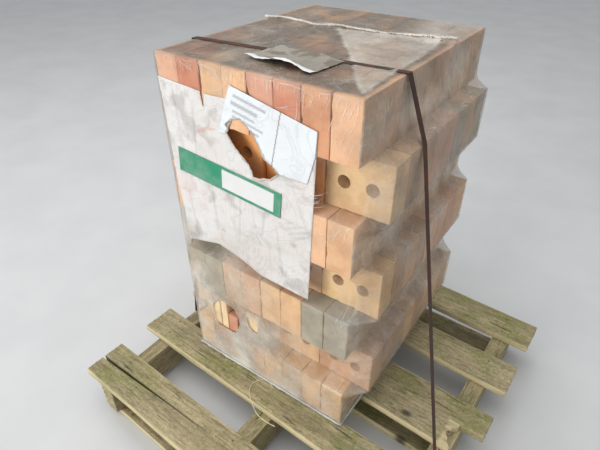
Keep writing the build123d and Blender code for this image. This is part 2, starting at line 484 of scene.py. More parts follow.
def build_grain_group():
    """Weathered sawn timber: fine grain, checks painted dark as shade, and growth in the pores."""
    group, given, out = new_group(
        "Weathered Grain",
        (
            ("Pale", "NodeSocketColor", None),
            ("Dark", "NodeSocketColor", None),
            ("Moss", "NodeSocketColor", None),
            ("Moss Amount", "NodeSocketFloat", 0.5),
            ("Stretch", "NodeSocketVector", (1.0, 14.0, 14.0)),
        ),
        (("Color", "NodeSocketColor"), ("Height", "NodeSocketFloat"), ("Growth", "NodeSocketFloat")),
    )
    place = stretched(group, given.outputs["Stretch"])
    rings = texture(group, 3.2, 7.0, 0.68, 0.5, place)
    fibres = texture(group, 15.0, 5.0, 0.72, 0.0, place)
    checks = texture(group, 6.5, 2.0, 0.4, 0.0, place)
    mottling = texture(group, 120.0, 6.0, 0.8)
    speckle = texture(group, 330.0, 3.0, 0.75)
    color = blend(group, ramp(group, rings, 0.34, 0.68, 0.0, 0.6), given.outputs["Pale"], given.outputs["Dark"])
    color = blend(group, ramp(group, fibres, 0.44, 0.68, 0.0, 0.6), color, given.outputs["Dark"])
    color = blend(group, ramp(group, mottling, 0.5, 0.68, 0.0, 0.6), color, (0.07, 0.062, 0.04))
    color = blend(group, ramp(group, speckle, 0.56, 0.68, 0.0, 0.5), color, (0.05, 0.044, 0.028))
    color = blend(group, ramp(group, speckle, 0.36, 0.44, 0.35, 0.0), color, (0.56, 0.52, 0.42))
    patches = ramp(group, texture(group, 8.0, 5.0, 0.65), 0.44, 0.64)
    growth = sums(group, "MULTIPLY", patches, ramp(group, mottling, 0.36, 0.56))
    growth = sums(group, "MULTIPLY", growth, given.outputs["Moss Amount"], True)
    color = blend(group, growth, color, given.outputs["Moss"])
    # The checks are sunk in the bump and painted near black as shade in them.
    crack = ramp(group, checks, 0.28, 0.33, 0.7, 0.0)
    color = blend(group, crack, color, (0.025, 0.021, 0.014))
    height = sums(group, "SUBTRACT", sums(group, "ADD", fibres, sums(group, "MULTIPLY", mottling, 0.9)), crack)
    set_inputs(group, out, {"Color": color, "Height": height, "Growth": growth})


def build_crinkle_group():
    """Creases of thin sheet: sharp folds over soft puckers."""
    group, given, out = new_group(
        "Crinkle",
        (("Scale", "NodeSocketFloat", 20.0), ("Stretch", "NodeSocketVector", (1.0, 1.0, 1.0))),
        (("Height", "NodeSocketFloat"), ("Crease", "NodeSocketFloat")),
    )
    place = stretched(group, given.outputs["Stretch"])
    soft = texture(group, given.outputs["Scale"], 5.0, 0.55, 0.7, place)
    folds = sums(group, "ABSOLUTE", sums(group, "SUBTRACT", soft, 0.5))
    crease = ramp(group, folds, 0.0, 0.022, 1.0, 0.0)
    height = sums(group, "ADD", soft, sums(group, "MULTIPLY", crease, 0.3))
    set_inputs(group, out, {"Height": height, "Crease": crease})


# Materials

def brick_material(settings):
    """Fired clay tinted brick by brick."""
    material, tree, shader = new_material("Firebrick", 0.9)
    tint = read(tree, "tint", "Color")
    dark = blend(tree, 1.0, tint, (0.6, 0.5, 0.45), "MULTIPLY")
    clay = effect(tree, "Fired Clay", {"Color": tint, "Patch Color": dark, "Patches": 0.5})
    dusty = effect(tree, "Dust", {
        "Color": clay["Color"], "Dust Color": settings.dust_color, "Amount": 0.35, "Scale": 11.0,
    })
    feed(tree, shader, Base_Color=dusty["Color"], Normal=relief(tree, clay["Height"], 0.5, 0.0015))
    return material


def wood_material(settings, name, stretch, moss):
    """Weathered softwood whose grain runs along one axis, paler where the wood is laid bare and where light is painted
    on the boards' front faces.
    """
    material, tree, shader = new_material(name, 0.88)
    grain = effect(tree, "Weathered Grain", {
        "Pale": settings.wood_pale, "Dark": settings.wood_dark,
        "Moss": settings.moss_color, "Moss Amount": moss, "Stretch": stretch,
    })
    # Paler where wood is laid bare and where light is painted on the front faces.
    color = blend(tree, read(tree, "wear"), grain["Color"], settings.wood_bared_and_lit)
    # Darker where it is dirty, at the knot, and where shade is painted in the split.
    color = blend(tree, read(tree, "grime"), color, (0.02, 0.017, 0.011))
    feed(tree, shader, Base_Color=color, Normal=relief(tree, grain["Height"], 0.8, 0.0022))
    return material


def film_material(settings):
    """Dusty film: see-through by its cover, milky by its haze, dirty and painted with shade where it is darkened, and
    lit by painted glints along its creases and where its glint is set.
    """
    material, tree, shader = new_material("Shrink Film", 0.27)
    streaks = effect(tree, "Crinkle", {"Scale": 4.0, "Stretch": (9.0, 9.0, 1.8)})
    puckers = effect(tree, "Crinkle", {"Scale": 24.0})
    clouds = texture(tree, 9.0, 6.0, 0.62)
    specks = texture(tree, 260.0, 3.0, 0.7)
    color = blend(tree, read(tree, "haze"), settings.film_color, settings.film_milk)
    dusty = effect(tree, "Dust", {"Color": color, "Dust Color": settings.film_dirt, "Amount": 0.4, "Scale": 13.0})
    color = blend(tree, read(tree, "grime"), dusty["Color"], settings.film_dirt)
    # Painted highlights: the glint attribute and the crinkle's crease marks turn the film toward its glint colour and
    # make it more opaque.
    color = blend(tree, read(tree, "glint"), color, settings.film_glint)
    crease_glints = sums(tree, "MULTIPLY", sums(tree, "MAXIMUM", streaks["Crease"], puckers["Crease"]), 0.2)
    color = blend(tree, crease_glints, color, settings.film_glint)
    color = blend(tree, ramp(tree, specks, 0.68, 0.74, 0.0, 0.5), color, (0.15, 0.11, 0.08))
    uneven = sums(tree, "MULTIPLY", read(tree, "cover"), ramp(tree, clouds, 0.3, 0.7, 0.72, 1.28))
    alpha = sums(tree, "ADD", uneven, sums(tree, "MULTIPLY", crease_glints, 0.35), True)
    height = sums(tree, "ADD", streaks["Height"], sums(tree, "MULTIPLY", puckers["Height"], 0.5))
    feed(tree, shader, Base_Color=color, Alpha=alpha, Normal=relief(tree, height, 0.6, 0.003))
    shader.inputs["Specular IOR Level"].default_value = 0.6
    return material


def paper_material(settings, name, color, print_color, stain):
    """Creased paper with stains, faint grey printing that says nothing, and shade painted along its creases and folds.
    """
    material, tree, shader = new_material(name, 0.65)
    crinkle = effect(tree, "Crinkle", {"Scale": 15.0})
    dusty = effect(tree, "Dust", {"Color": color, "Dust Color": stain, "Amount": 0.4, "Scale": 10.0})
    shade = blend(tree, read(tree, "print"), dusty["Color"], print_color)
    # The creases are darkened grey as painted shade.
    shade = blend(tree, sums(tree, "MULTIPLY", crinkle["Crease"], 0.16), shade, (0.42, 0.41, 0.4))
    shade = blend(tree, read(tree, "grime"), shade, settings.film_dirt)
    shade = blend(tree, read(tree, "blush"), shade, (0.62, 0.3, 0.26))
    feed(tree, shader, Base_Color=shade, Normal=relief(tree, crinkle["Height"], 0.6, 0.003))
    return material


def sticker_material(settings):
    """Green sticker with a bare white panel."""
    material, tree, shader = new_material("Lot Sticker", 0.38)
    crinkle = effect(tree, "Crinkle", {"Scale": 18.0})
    color = blend(tree, read(tree, "print"), settings.sticker_color, settings.paper_color)
    dusty = effect(tree, "Dust", {"Color": color, "Dust Color": (0.55, 0.52, 0.48), "Amount": 0.2, "Scale": 16.0})
    feed(tree, shader, Base_Color=dusty["Color"], Normal=relief(tree, crinkle["Height"], 0.25, 0.0015))
    return material


def rust_material(settings):
    """Rusted strip steel."""
    material, tree, shader = new_material("Rusty Strap", 0.6)
    patches = texture(tree, 45.0, 6.0, 0.7)
    pits = texture(tree, 420.0, 3.0)
    color = blend(tree, ramp(tree, patches, 0.42, 0.66), settings.strap_color, settings.rust_color)
    color = blend(tree, ramp(tree, pits, 0.62, 0.7, 0.0, 0.6), color, (0.012, 0.008, 0.006))
    feed(
        tree, shader, Base_Color=color, Normal=relief(tree, pits, 0.5, 0.0006),
        Roughness=ramp(tree, patches, 0.35, 0.7, 0.45, 0.85),
    )
    shader.inputs["Metallic"].default_value = 0.3
    return material


def plain_material(name, first, second, scale, roughness):
    """Two colours in patches with a fine bump, for small things."""
    material, tree, shader = new_material(name, roughness)
    patches = texture(tree, scale, 5.0)
    color = blend(tree, ramp(tree, patches, 0.38, 0.64), first, second)
    feed(tree, shader, Base_Color=color, Normal=relief(tree, patches, 0.4, 0.001))
    return material


# Bricks

TINTS = {
    "tan": srgb(226, 180, 138),
    "yellow": srgb(238, 200, 146),
    "orange": srgb(216, 148, 106),
    # The bright orange is raised above the clay's own tone to paint in light on the bricks behind the label's tear.
    "bright": srgb(249, 170, 98),
    "red": srgb(200, 128, 100),
    "pink": srgb(214, 160, 132),
    "grey": srgb(152, 154, 138),
    "brown": srgb(182, 146, 116),
    "pale": srgb(238, 212, 168),
}
PALETTE = ("tan", "pink", "tan", "brown", "yellow", "tan", "orange", "brown")
TOP_PALETTE = ("brown", "tan", "brown", "pink")
# Tints of the bricks that show, by layer from the foot: along the front, then up the right side
FRONT_TINTS = {
    7: ("pink", "red", "tan", "tan", "pink", "red", "orange", "tan"),
    6: ("tan", "bright", "bright", "yellow"),
    5: ("tan", "tan", "orange", "tan", "tan", "pink", "tan", "tan"),
    4: ("grey", "tan", "tan", "yellow"),
    3: ("grey", "grey", "tan", "tan", "yellow", "tan", "grey", "grey"),
    2: ("yellow", "yellow", "yellow", "tan"),
    1: ("yellow", "tan", "yellow", "tan", "yellow", "yellow", "yellow", "yellow"),
}
SIDE_TINTS = {
    6: ("yellow", "brown", "brown", "pink", "pink", "grey", "brown", "grey"),
    4: ("yellow", "brown", "tan", "brown", "tan", "pink", "orange", "tan"),
    2: ("pink", "brown", "brown", "tan", "brown", "tan", "yellow", "tan"),
}


# How far a front brick stands forward, by layer and column
FORWARD_BRICKS = {(6, 1): 12.0, (6, 2): 3.0}

# Broken bits of brick held by the film in the second layer: left, right, foot, top and tint
BRICK_BITS = (
    (-182, -151, 126, 238, "pale"), (-149, -126, 126, 236, "pale"),
    (-123, -90, 126, 188, "red"), (-56, -12, 126, 236, "pale"),
)
BIT_DEPTH = (250.0, 291.0)
BIT_STEPS = (6, 5, 12)
BIT_WEAR = 2.6


def brick_tint(number, column, row, rng):
    """Tint of a brick by its place in its layer."""
    columns = SIDE_COUNT if number % 2 else END_COUNT
    name = rng.choice(TOP_PALETTE if number == LAYER_COUNT and row else PALETTE)
    if row == 0:
        name = FRONT_TINTS[number][column]
    elif column == columns - 1 and number in SIDE_TINTS:
        name = SIDE_TINTS[number][row]
    shade = rng.uniform(0.9, 1.08)
    return [channel * shade * rng.uniform(0.97, 1.03) for channel in TINTS[name]]


def skin_faces(steps, corner, keep=None):
    """Quads of the skin of a lattice, whose corners are asked for by their three numbers."""
    faces = []
    for fixed, first, second in ((0, 1, 2), (1, 0, 2), (2, 0, 1)):
        for side in (0, steps[fixed]):
            for a in range(steps[first]):
                for b in range(steps[second]):
                    keys = []
                    for da, db in ((0, 0), (1, 0), (1, 1), (0, 1)):
                        key = [0, 0, 0]
                        key[fixed], key[first], key[second] = side, a + da, b + db
                        keys.append(tuple(key))
                    if keep is None or keep(fixed, keys):
                        faces.append(tuple(corner(*key) for key in keys))
    return faces


def brick_form(edge):
    """Places and faces of a brick on edge about its middle: bores run along the second axis."""
    half = (BRICK_LENGTH / 2, BRICK_THICKNESS / 2, BRICK_HEIGHT / 2)
    bore = BORE_SPACING / 2
    wanted = (
        (bore - PATCH, bore - PATCH / 2, bore, bore + PATCH / 2, bore + PATCH, half[0] - edge, half[0]),
        (10.0, half[1] - edge, half[1]),
        (0.0, PATCH / 2, PATCH, 40.0, half[2] - edge, half[2]),
    )
    stops = [sorted({sign * value for value in values for sign in (-1, 1)}) for values in wanted]
    index, places = {}, []

    def corner(*key):
        if key not in index:
            place = [stops[axis][key[axis]] for axis in range(3)]
            outer = [axis for axis in range(3) if abs(place[axis]) == half[axis]]
            for axis in outer if len(outer) > 1 else ():
                place[axis] -= math.copysign(0.4 * edge, place[axis])
            index[key] = len(places)
            places.append(place)
        return index[key]

    def whole(fixed, keys):
        x, z = (sum(stops[axis][key[axis]] for key in keys) / len(keys) for axis in (0, 2))
        return fixed != 1 or abs(abs(x) - bore) > PATCH or abs(z) > PATCH

    faces = skin_faces([len(found) - 1 for found in stops], corner, whole)
    bottom = stops[2].index(0.0) - 2
    back = len(stops[1]) - 1
    for middle in (-bore, bore):
        left = stops[0].index(middle) - 2
        route = [(left + n, bottom) for n in range(4)] + [(left + 4, bottom + n) for n in range(4)]
        route += [(left + 4 - n, bottom + 4) for n in range(4)] + [(left, bottom + 4 - n) for n in range(4)]
        rings = [[corner(a, 0, b) for a, b in route]]
        for depth, lip in ((0.0, 1), (BORE_LIP, 0), (BRICK_THICKNESS - BORE_LIP, 0), (BRICK_THICKNESS, 1)):
            radius = BORE_RADIUS + BORE_LIP * lip
            rings.append(list(range(len(places), len(places) + len(route))))
            for number in range(len(route)):
                angle = math.tau * (number / len(route) - 0.375)
                places.append([middle + radius * math.cos(angle), depth - half[1], radius * math.sin(angle)])
        rings.append([corner(a, back, b) for a, b in route])
        for near, far in zip(rings, rings[1:]):
            faces += [(near[n - 1], near[n], far[n], far[n - 1]) for n in range(len(route))]
    return places, faces


def worn_brick(place, half, spot, settings):
    """A brick's point worn down, deeper at the edges than on the faces."""
    outer = [axis for axis in range(3) if half[axis] - abs(place[axis]) < 2.5]
    depth = abs(wave(*spot, 0.05, 4)) * settings.brick_wear / MM
    if len(outer) > 1:
        depth += max(wave(*spot, 0.07, 3) - 0.05, 0) * settings.brick_chips / MM
    worn = list(place)
    for axis in outer:
        worn[axis] -= math.copysign(depth, place[axis])
    return worn


def make_brick_layer(number, settings, material, form):
    """One layer: bricks with worn edges, each a little out of place and of its own tint."""
    rng = random.Random(100 + number)
    odd = number % 2
    columns, rows = (SIDE_COUNT, END_COUNT) if odd else (END_COUNT, SIDE_COUNT)
    across, deep = (SIDE_PITCH, END_PITCH) if odd else (END_PITCH, SIDE_PITCH)
    height = (number - 0.5) * BRICK_HEIGHT
    places, quads = form
    half = [max(abs(place[axis]) for place in places) for axis in range(3)]
    vertices, faces, tints = [], [], []
    for column in range(columns):
        for row in range(rows):
            color = (*brick_tint(number, column, row, rng), 1)
            middle = Vector(((column - (columns - 1) / 2) * across, (row - (rows - 1) / 2) * deep))
            stand = middle - middle.normalized() * rng.uniform(0, settings.brick_shift) / MM
            if row == 0:
                stand.y -= FORWARD_BRICKS.get((number, column), 0)
            turn = Matrix.Rotation(math.radians(rng.uniform(-1, 1) * settings.brick_turn), 2)
            faces += [tuple(len(vertices) + v for v in quad) for quad in quads]
            for place in places:
                spot = (middle.x + place[odd], middle.y + place[1 - odd], height + place[2])
                worn = worn_brick(place, half, spot, settings)
                flat = stand + turn @ Vector((worn[odd], worn[1 - odd])) * 0.998
                vertices.append(stack_point(flat.x, flat.y, height + worn[2]))
                tints += color
    mesh = tinted_mesh(f"bricks_{number}", vertices, faces, tints)
    keep_flats(new_piece(f"bricks_{number}", mesh, material, (f"brick_layer_{number}",)))


def tinted_mesh(name, vertices, faces, tints):
    """Brick mesh with its faces turned outward and a tint at each vertex."""
    mesh = mesh_from(name, vertices, faces)
    bm = bmesh.new()
    bm.from_mesh(mesh)
    bmesh.ops.recalc_face_normals(bm, faces=bm.faces)
    bm.to_mesh(mesh)
    bm.free()
    mesh.attributes.new("tint", "FLOAT_COLOR", "POINT").data.foreach_set("color", tints)
    return mesh


def make_brick_bits(material):
    """Broken bits of brick that fill the recess behind the low tears."""
    vertices, faces, tints = [], [], []
    near, far = BIT_DEPTH
    for left, right, foot, top, tint in BRICK_BITS:
        index = {}

        def corner(*key):
            if key not in index:
                a, b, c = (number / steps for number, steps in zip(key, BIT_STEPS))
                x, y, z = left + (right - left) * a, -near - (far - near) * b, foot + (top - foot) * c
                middle = Vector(((left + right) / 2, -(near + far) / 2, (foot + top) / 2))
                place = Vector((x, y, z))
                inward = (middle - place).normalized()
                place += inward * BIT_WEAR * abs(wave(x, y, z, 0.09, 4))
                index[key] = len(vertices)
                vertices.append(stack_point(*place))
                tints.extend((*TINTS[tint], 1))
            return index[key]

        faces += skin_faces(BIT_STEPS, corner)
    mesh = tinted_mesh("brick_bits", vertices, faces, tints)
    keep_flats(new_piece("brick_bits", mesh, material))


# Timber

def timber_strip(run, start, finish, near, far, low, high, steps):
    """Places and quads of the skin of a strip of timber.

    near and far give the strip's sides at a place along it, and finish gives where it
    ends at a share of its width.
    """
    length, width, height = steps
    index, places = {}, []

    def corner(i, j, k):
        if (i, j, k) not in index:
            share = j / width
            u = start + (finish(share) - start) * i / length
            v = near(u) + (far(u) - near(u)) * share
            z = low + (high - low) * k / height
            index[i, j, k] = len(places)
            places.append(Vector((v, u, z) if run else (u, v, z)))
        return index[i, j, k]

    return places, skin_faces(steps, corner)


def level(value):
    """Same value everywhere along a strip."""
    return lambda place: value


def timber_strips(node, lo, hi, run):
    """Strips that a piece of timber is made of: one, or two where it is damaged."""
    side = 1 - run
    if node == "deck_board_1":
        begin = lo.y + SPLIT_FROM_EDGE

        def near_lip(x):
            return begin + SPLIT_DRIFT * min((x - lo.x) / SPLIT_LENGTH, 1)

        def far_lip(x):
            return near_lip(x) + SPLIT_MOUTH * max(1 - (x - lo.x) / SPLIT_LENGTH, 0)

        return ((level(hi.x), level(lo.y), near_lip), (level(hi.x), far_lip, level(hi.y)))
    if node == "deck_board_3":
        edge = lo.y + LOST_WIDTH

        def broken_end(share):
            return hi.x - LOST_LENGTH - BREAK_SLANT * (1 - abs(2 * share - 1)) + 2 * math.sin(share * 23)

        return ((broken_end, level(lo.y), level(edge)), (level(hi.x), level(edge), level(hi.y)))
    return ((level(hi[run]), level(lo[side]), level(hi[side])),)


def worn_place(p, lo, hi, run, seed, depth):
    """A timber point moved by wearing, with how pale it is from wood laid bare and from light painted on the front
    face, and how grimy it is.
    """
    side = 1 - run
    middle = (lo + hi) / 2
    to_side = min(p[side] - lo[side], hi[side] - p[side])
    to_face = min(p.z - lo.z, hi.z - p.z)
    to_end = min(p[run] - lo[run], hi[run] - p[run])
    drawn = Vector(p)
    drawn[run] *= 0.1
    slow = wave(drawn.x + seed * 31, drawn.y, drawn.z, 0.045)
    fine = wave(drawn.x + seed * 17, drawn.y, drawn.z, 0.24)
    edge = max(0.0, 1 - max(to_side, to_face) / 8.0)
    bite = (0.45 + 0.55 * slow) * edge * depth
    moved = Vector((0, 0, 0))
    moved[side] = -math.copysign(bite, p[side] - middle[side])
    moved.z = -math.copysign(0.7 * bite, p.z - middle.z)
    if to_end < 8:
        fray = (0.5 + 0.5 * wave(p.x * 0.4, p.y, p.z, 0.2)) * 4.0 * (1 - to_end / 8)
        moved[run] -= math.copysign(fray, p[run] - middle[run])
    if to_face < 1 and to_side > 2:
        moved.z -= math.copysign(max(fine, 0) * 1.1 + max(slow, 0) * 0.8, p.z - middle.z)
    placed = Vector([min(max(p[axis] + moved[axis], lo[axis]), hi[axis]) for axis in range(3)])
    bared_and_lit = smooth_step(edge, 0.55, 1.0) * smooth_step(slow, -0.35, 0.35) * 0.75
    # Each board's front face is painted pale, as light falling on it.
    if run == 0 and p.y - lo.y < 1:
        bared_and_lit = max(bared_and_lit, 0.35 + 0.4 * smooth_step(slow, -0.3, 0.3))
    grime = 0.35 * smooth_step(-fine, 0.15, 0.5) * (1 - bared_and_lit)
    knot = math.hypot((p.x - KNOT[0]) * 0.6, p.y - KNOT[1]) / KNOT[2]
    return placed, bared_and_lit, max(grime, 0.85 * math.exp(-knot * knot * knot * knot))


def make_timber(node, settings, material, seed, name):
    """Board or bearer with grain in relief and worn edges, of the size of its solid."""
    lo, hi = (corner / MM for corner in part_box(node))
    run = 0 if hi.x - lo.x > hi.y - lo.y else 1
    grid = settings.timber_grid / MM
    vertices, faces, wear, grime = [], [], [], []
    for finish, near, far in timber_strips(node, lo, hi, run):
        broken = finish(0) < hi[run] - 1
        steps = (
            round((hi[run] - lo[run]) / (2 * grid)),
            max(round((far(hi[run]) - near(hi[run])) / grid), 4),
            max(round((hi.z - lo.z) / (1.6 * grid)), 3),
        )
        places, quads = timber_strip(run, lo[run], finish, near, far, lo.z, hi.z, steps)
        faces += [tuple(len(vertices) + v for v in quad) for quad in quads]
        for p in places:
            placed, bared_and_lit, dirt_and_split_shade = worn_place(p, lo, hi, run, seed, settings.timber_wear / MM)
            if broken and p.x > hi.x - LOST_LENGTH - BREAK_SLANT - 6:
                bared_and_lit = max(bared_and_lit, 0.7)
            # Along the split's lips the wood is darkened as painted shade in the crack.
            if node == "deck_board_1" and p.x < lo.x + SPLIT_LENGTH and lo.y + 9 < p.y < hi.y - 9:
                dirt_and_split_shade = max(dirt_and_split_shade, 0.5 * (min(abs(p.y - near(p.x)), abs(p.y - far(p.x))) < 1))
            vertices.append(placed * MM)
            wear.append(bared_and_lit)
            grime.append(dirt_and_split_shade)
    mesh = mesh_from(name, vertices, faces)
    bm = bmesh.new()
    bm.from_mesh(mesh)
    bmesh.ops.recalc_face_normals(bm, faces=bm.faces)
    for edge in bm.edges:
        edge.smooth = len(edge.link_faces) == 2 and edge.calc_face_angle(0) < math.radians(50)
    bm.to_mesh(mesh)
    bm.free()
    paint(mesh, wear=wear, grime=grime)
    new_piece(name, mesh, material, (node,))


# Film

def film_levels():
    """Heights where the film bends, with its reach to the sides and to the ends."""
    levels = [(FILM_FOOT, NARROW, WIDE)]
    steps = [FILM_DIP_FOOT_STEPS, *[FILM_DIP_STEPS] * (LAYER_COUNT - 2), FILM_DIP_TOP_STEPS]
    for number in range(LAYER_COUNT):
        for share, depth in steps[number]:
            dipped = WIDE - FILM_DIP * depth
            reach = (WIDE, dipped) if number % 2 else (dipped, WIDE)
            levels.append(((number + share) * BRICK_HEIGHT, *reach))
        levels.append(((number + 1) * BRICK_HEIGHT, WIDE, WIDE))
    levels[-1] = (STACK_HEIGHT, NARROW, WIDE)
    return levels


FILM_LEVELS = film_levels()


def film_reach(height):
    """Reach of the film to the sides and to the ends at a height above the deck."""
    for (low, *first), (high, *second) in zip(FILM_LEVELS, FILM_LEVELS[1:]):
        if height <= high:
            share = max((height - low) / (high - low), 0.0)
            return tuple(a + (b - a) * share for a, b in zip(first, second))
    return FILM_LEVELS[-1][1:]


def film_outline(height, grow):
    """Corners of the film at a height, going round from the front right."""
    side, end = (reach + grow for reach in film_reach(height))
    near = NARROW + grow
    flat = -(WIDE + grow)
    return [
        (near, -end), (side, -near), (side, near), (near, end), (-near, end),
        (-side, near), (-side, -near), (-near, flat), (FLAT_FRONT_END, flat),
        (FLAT_FRONT_END + DRAW_IN_RUN, -end),
    ]


# Points along each stretch of the outline, and the stretches that lie on a face
FILM_COUNTS = (11, 92, 11, 92, 11, 92, 11, 82, 6, 12)
RIGHT_PART, BACK_PART, LEFT_PART, FRONT_PART, DRAWN_PART, CORNER_PART = 1, 3, 5, 7, 8, 9


def film_ring(height, grow):
    """Evenly shared points round the film at a height, with their outward directions."""
    corners = film_outline(height, grow)
    ring = []
    for number, count in enumerate(FILM_COUNTS):
        start = Vector(corners[number])
        run = Vector(corners[(number + 1) % len(corners)]) - start
        if run.length < 1e-6:
            run = Vector((1, -1)) * 1e-6
        out = Vector((run.y, -run.x)).normalized()
        for step in range(count):
            ring.append((start + run * (step / count), out, number))
    return ring


def film_wrinkle(point, height, part):
    """How far a point of the film stands out from its taut shape."""
    x, y = point
    number = min(int(height // BRICK_HEIGHT), LAYER_COUNT - 1)
    share = height / BRICK_HEIGHT - number
    hollow = math.sin(math.pi * min(max(share, 0), 1))
    sideways = part in (RIGHT_PART, LEFT_PART)
    place = y if sideways else x
    recessed = number % 2 == 0 if sideways else number % 2 == 1 and part in (BACK_PART, CORNER_PART)
    streaks = abs(wave(place, height * 0.2, 3.0 * part, 0.05, 4))
    lift = 0.4 * abs(wave(place, height, 5.0 * part, 0.03, 2))
    if recessed:
        lift += streaks * 5.5 * hollow
    elif part in (0, 2, 4, 6):
        lift += abs(wave(x, y, height * 0.5, 0.05, 2)) * 2.0 * hollow
    else:
        lift += streaks * 0.7
    return lift * smooth_step(STACK_HEIGHT - height, 0, 12)


def film_looks(point, height, part):
    """Cover, haze, and darkening of the film at a point of its sides: it is dirty, and shade is painted on the sides
    off the front.
    """
    x, y = point
    share = height / BRICK_HEIGHT % 1
    cloud = wave(x, y, height, 0.009, 4)
    edge = max(0.0, 1 - min(share, 1 - share) * 9)
    cover = 0.17 + 0.1 * cloud + 0.06 * edge
    haze = 0.35 + 0.5 * cloud + 0.2 * edge
    grime = 0.0
    if part in (FRONT_PART, DRAWN_PART, CORNER_PART):
        milk = 0.0
        for across, up, reach, strength in MILKY_PATCHES:
            distance = math.hypot(x - across, height - up) / reach
            milk = max(milk, strength * math.exp(-distance * distance))
        cover += 0.62 * milk * (0.85 + 0.5 * cloud) - 0.12 * smooth_step(height, 300, 420)
        haze = max(haze, milk)
    else:
        # Off the front the film is denser and darker: it is dirty there, and shade is painted on those sides.
        bridged = math.sin(math.pi * share) * (int(height // BRICK_HEIGHT) % 2 == 0)
        cover += 0.2 + 0.38 * bridged
        grime = (0.18 + 0.4 * wave(x, y, height, 0.012, 3)) * (1 - 0.75 * bridged)
        haze -= 0.1 + 0.15 * bridged
    foot = max(0.0, 1 - height / 34)
    return [min(max(value, 0.04), 1.0) for value in (cover + 0.5 * foot, haze + 0.6 * foot, grime)]


def bulge(x, y):
    """How far the film's right top edge stands up at the end of the seam."""
    place, reach, height = SEAM_BULGE
    return height * math.exp(-((y - place) / reach) ** 2) * smooth_step(x, 110, 230)


def make_film_sides(settings, material):
    """Film round the stack, torn open on its front."""
    grid = settings.film_grid / MM
    rows = round(BRICK_HEIGHT / grid) * LAYER_COUNT
    heights = [FILM_FOOT, *(STACK_HEIGHT * row / rows for row in range(1, rows)), STACK_HEIGHT - 0.5]
    vertices, looks, flat = [], [], []
    for height in heights:
        rise = smooth_step(height, STACK_HEIGHT - 40, STACK_HEIGHT)
        for point, out, part in film_ring(height, FILM_SKIN):
            spot = point + out * film_wrinkle(point, height, part)
            place = None
            if part == FRONT_PART:
                place = (point.x, height)
                for outline in TORN_OUTLINES:
                    found, distance = nearest_on(place, outline)
                    if distance < 0.6 * grid:
                        place = found
                vertices.append(stack_point(place[0], spot.y, place[1]))
            else:
                vertices.append(stack_point(spot.x, spot.y, height + rise * bulge(spot.x, spot.y)))
            looks.append(film_looks(point, height, part))
            flat.append(place)
    around = sum(FILM_COUNTS)
    faces = []
    for row in range(rows):
        for k in range(around):
            following = (k + 1) % around
            face = (
                row * around + k, row * around + following,
                (row + 1) * around + following, (row + 1) * around + k,
            )
            if not torn([flat[v] for v in face]):
                faces.append(face)
    mesh = mesh_from("film_sides", vertices, faces)
    cover, haze, grime = zip(*looks)
    paint(mesh, cover=cover, haze=haze, grime=grime)
    new_piece("film_sides", mesh, material, ("shrink_film",))


def torn(places):
    """Whether the middle of a face of the front lies in a tear."""
    if None in places:
        return False
    middle = [sum(p[axis] for p in places) / len(places) for axis in range(2)]
    return any(inside(middle, outline) for outline in TORN_OUTLINES)


def seam_y(x):
    """Place of the gathered seam across the top."""
    return along(SEAM, x)


def flap_share(x, y):
    """1 on the doubled flap of film, 0 off it, and its distance from the flap's edge."""
    distance = nearest_on((x, y), FLAP)[1]
    signed = -distance if inside((x, y), FLAP) else distance
    signed += 5 * wave(x, y, 3, 0.03)
    return 1 - smooth_step(signed, -3, 3), abs(signed)


def top_looks(x, y):
    """Cover, haze and grime of the film at a point of the top."""
    cloud = wave(x, y, 40, 0.01, 4)
    seam = math.exp(-((y - seam_y(x)) / 20) ** 2)
    flap, to_rim = flap_share(x, y)
    rim = 0.3 * math.exp(-(to_rim / 4) ** 2)
    behind = smooth_step(y - seam_y(x), 5, 25)
    right = smooth_step(x, 60, 160)
    edge = 1 - smooth_step(min(NARROW - abs(x), WIDE - abs(y)), 2, 14)
    pool = math.exp(-((x + 30) / 70) ** 2 - ((y + 70) / 50) ** 2)
    cover = 0.68 + 0.16 * cloud + 0.2 * seam + 0.14 * flap + rim
    haze = 0.15 + 0.3 * cloud + 0.45 * seam + 0.5 * flap + rim + 0.5 * behind * right
    grime = (0.93 + 0.45 * wave(x, y, 11, 0.014, 4) + 0.35 * pool) * (1 - 0.6 * flap)
    grime *= 1 - 0.7 * behind * right
    cover *= 1 - 0.5 * edge
    grime *= 1 - 0.8 * edge
    return [min(max(value, 0.0), 1.0) for value in (cover, haze, grime)]


def top_lift(x, y):
    """How far the film's top stands above its seat."""
    edge = min(NARROW + FILM_OUT - abs(x), WIDE + FILM_OUT - abs(y))
    inner = smooth_step(edge, 0, 18)
    skirt = math.exp(-((y - seam_y(x)) / 24) ** 2)
    gather = abs(wave(x * 3, y, 0, 0.05, 3))
    lift = abs(wave(x, y * 0.6, 9, 0.02, 4)) * 1.8 * inner
    lift += skirt * (2.5 + 3.0 * gather) * (0.4 + 0.6 * inner)
    lift += 1.4 * inner * flap_share(x, y)[0] + bulge(x, y)
    return lift - 1.0 * (1 - smooth_step(edge, 0, 5))


def make_film_top(settings, material):
    """Film over the top, with its doubled flap on the right."""
    grid = settings.film_grid / MM * 0.8
    reach_x, reach_y = NARROW + FILM_OUT, WIDE + FILM_OUT
    columns, rows = int(2 * reach_x / grid), int(2 * reach_y / grid)
    vertices, looks = [], []
    for row in range(rows + 1):
        for column in range(columns + 1):
            x = -reach_x + 2 * reach_x * column / columns
            y = -reach_y + 2 * reach_y * row / rows
            vertices.append(stack_point(x, y, STACK_HEIGHT + 0.6 + top_lift(x, y)))
            looks.append(top_looks(x, y))
    mesh = mesh_from("film_top", vertices, grid_faces(columns, rows))
    cover, haze, grime = zip(*looks)
    paint(mesh, cover=cover, haze=haze, grime=grime)
    new_piece("film_top", mesh, material)


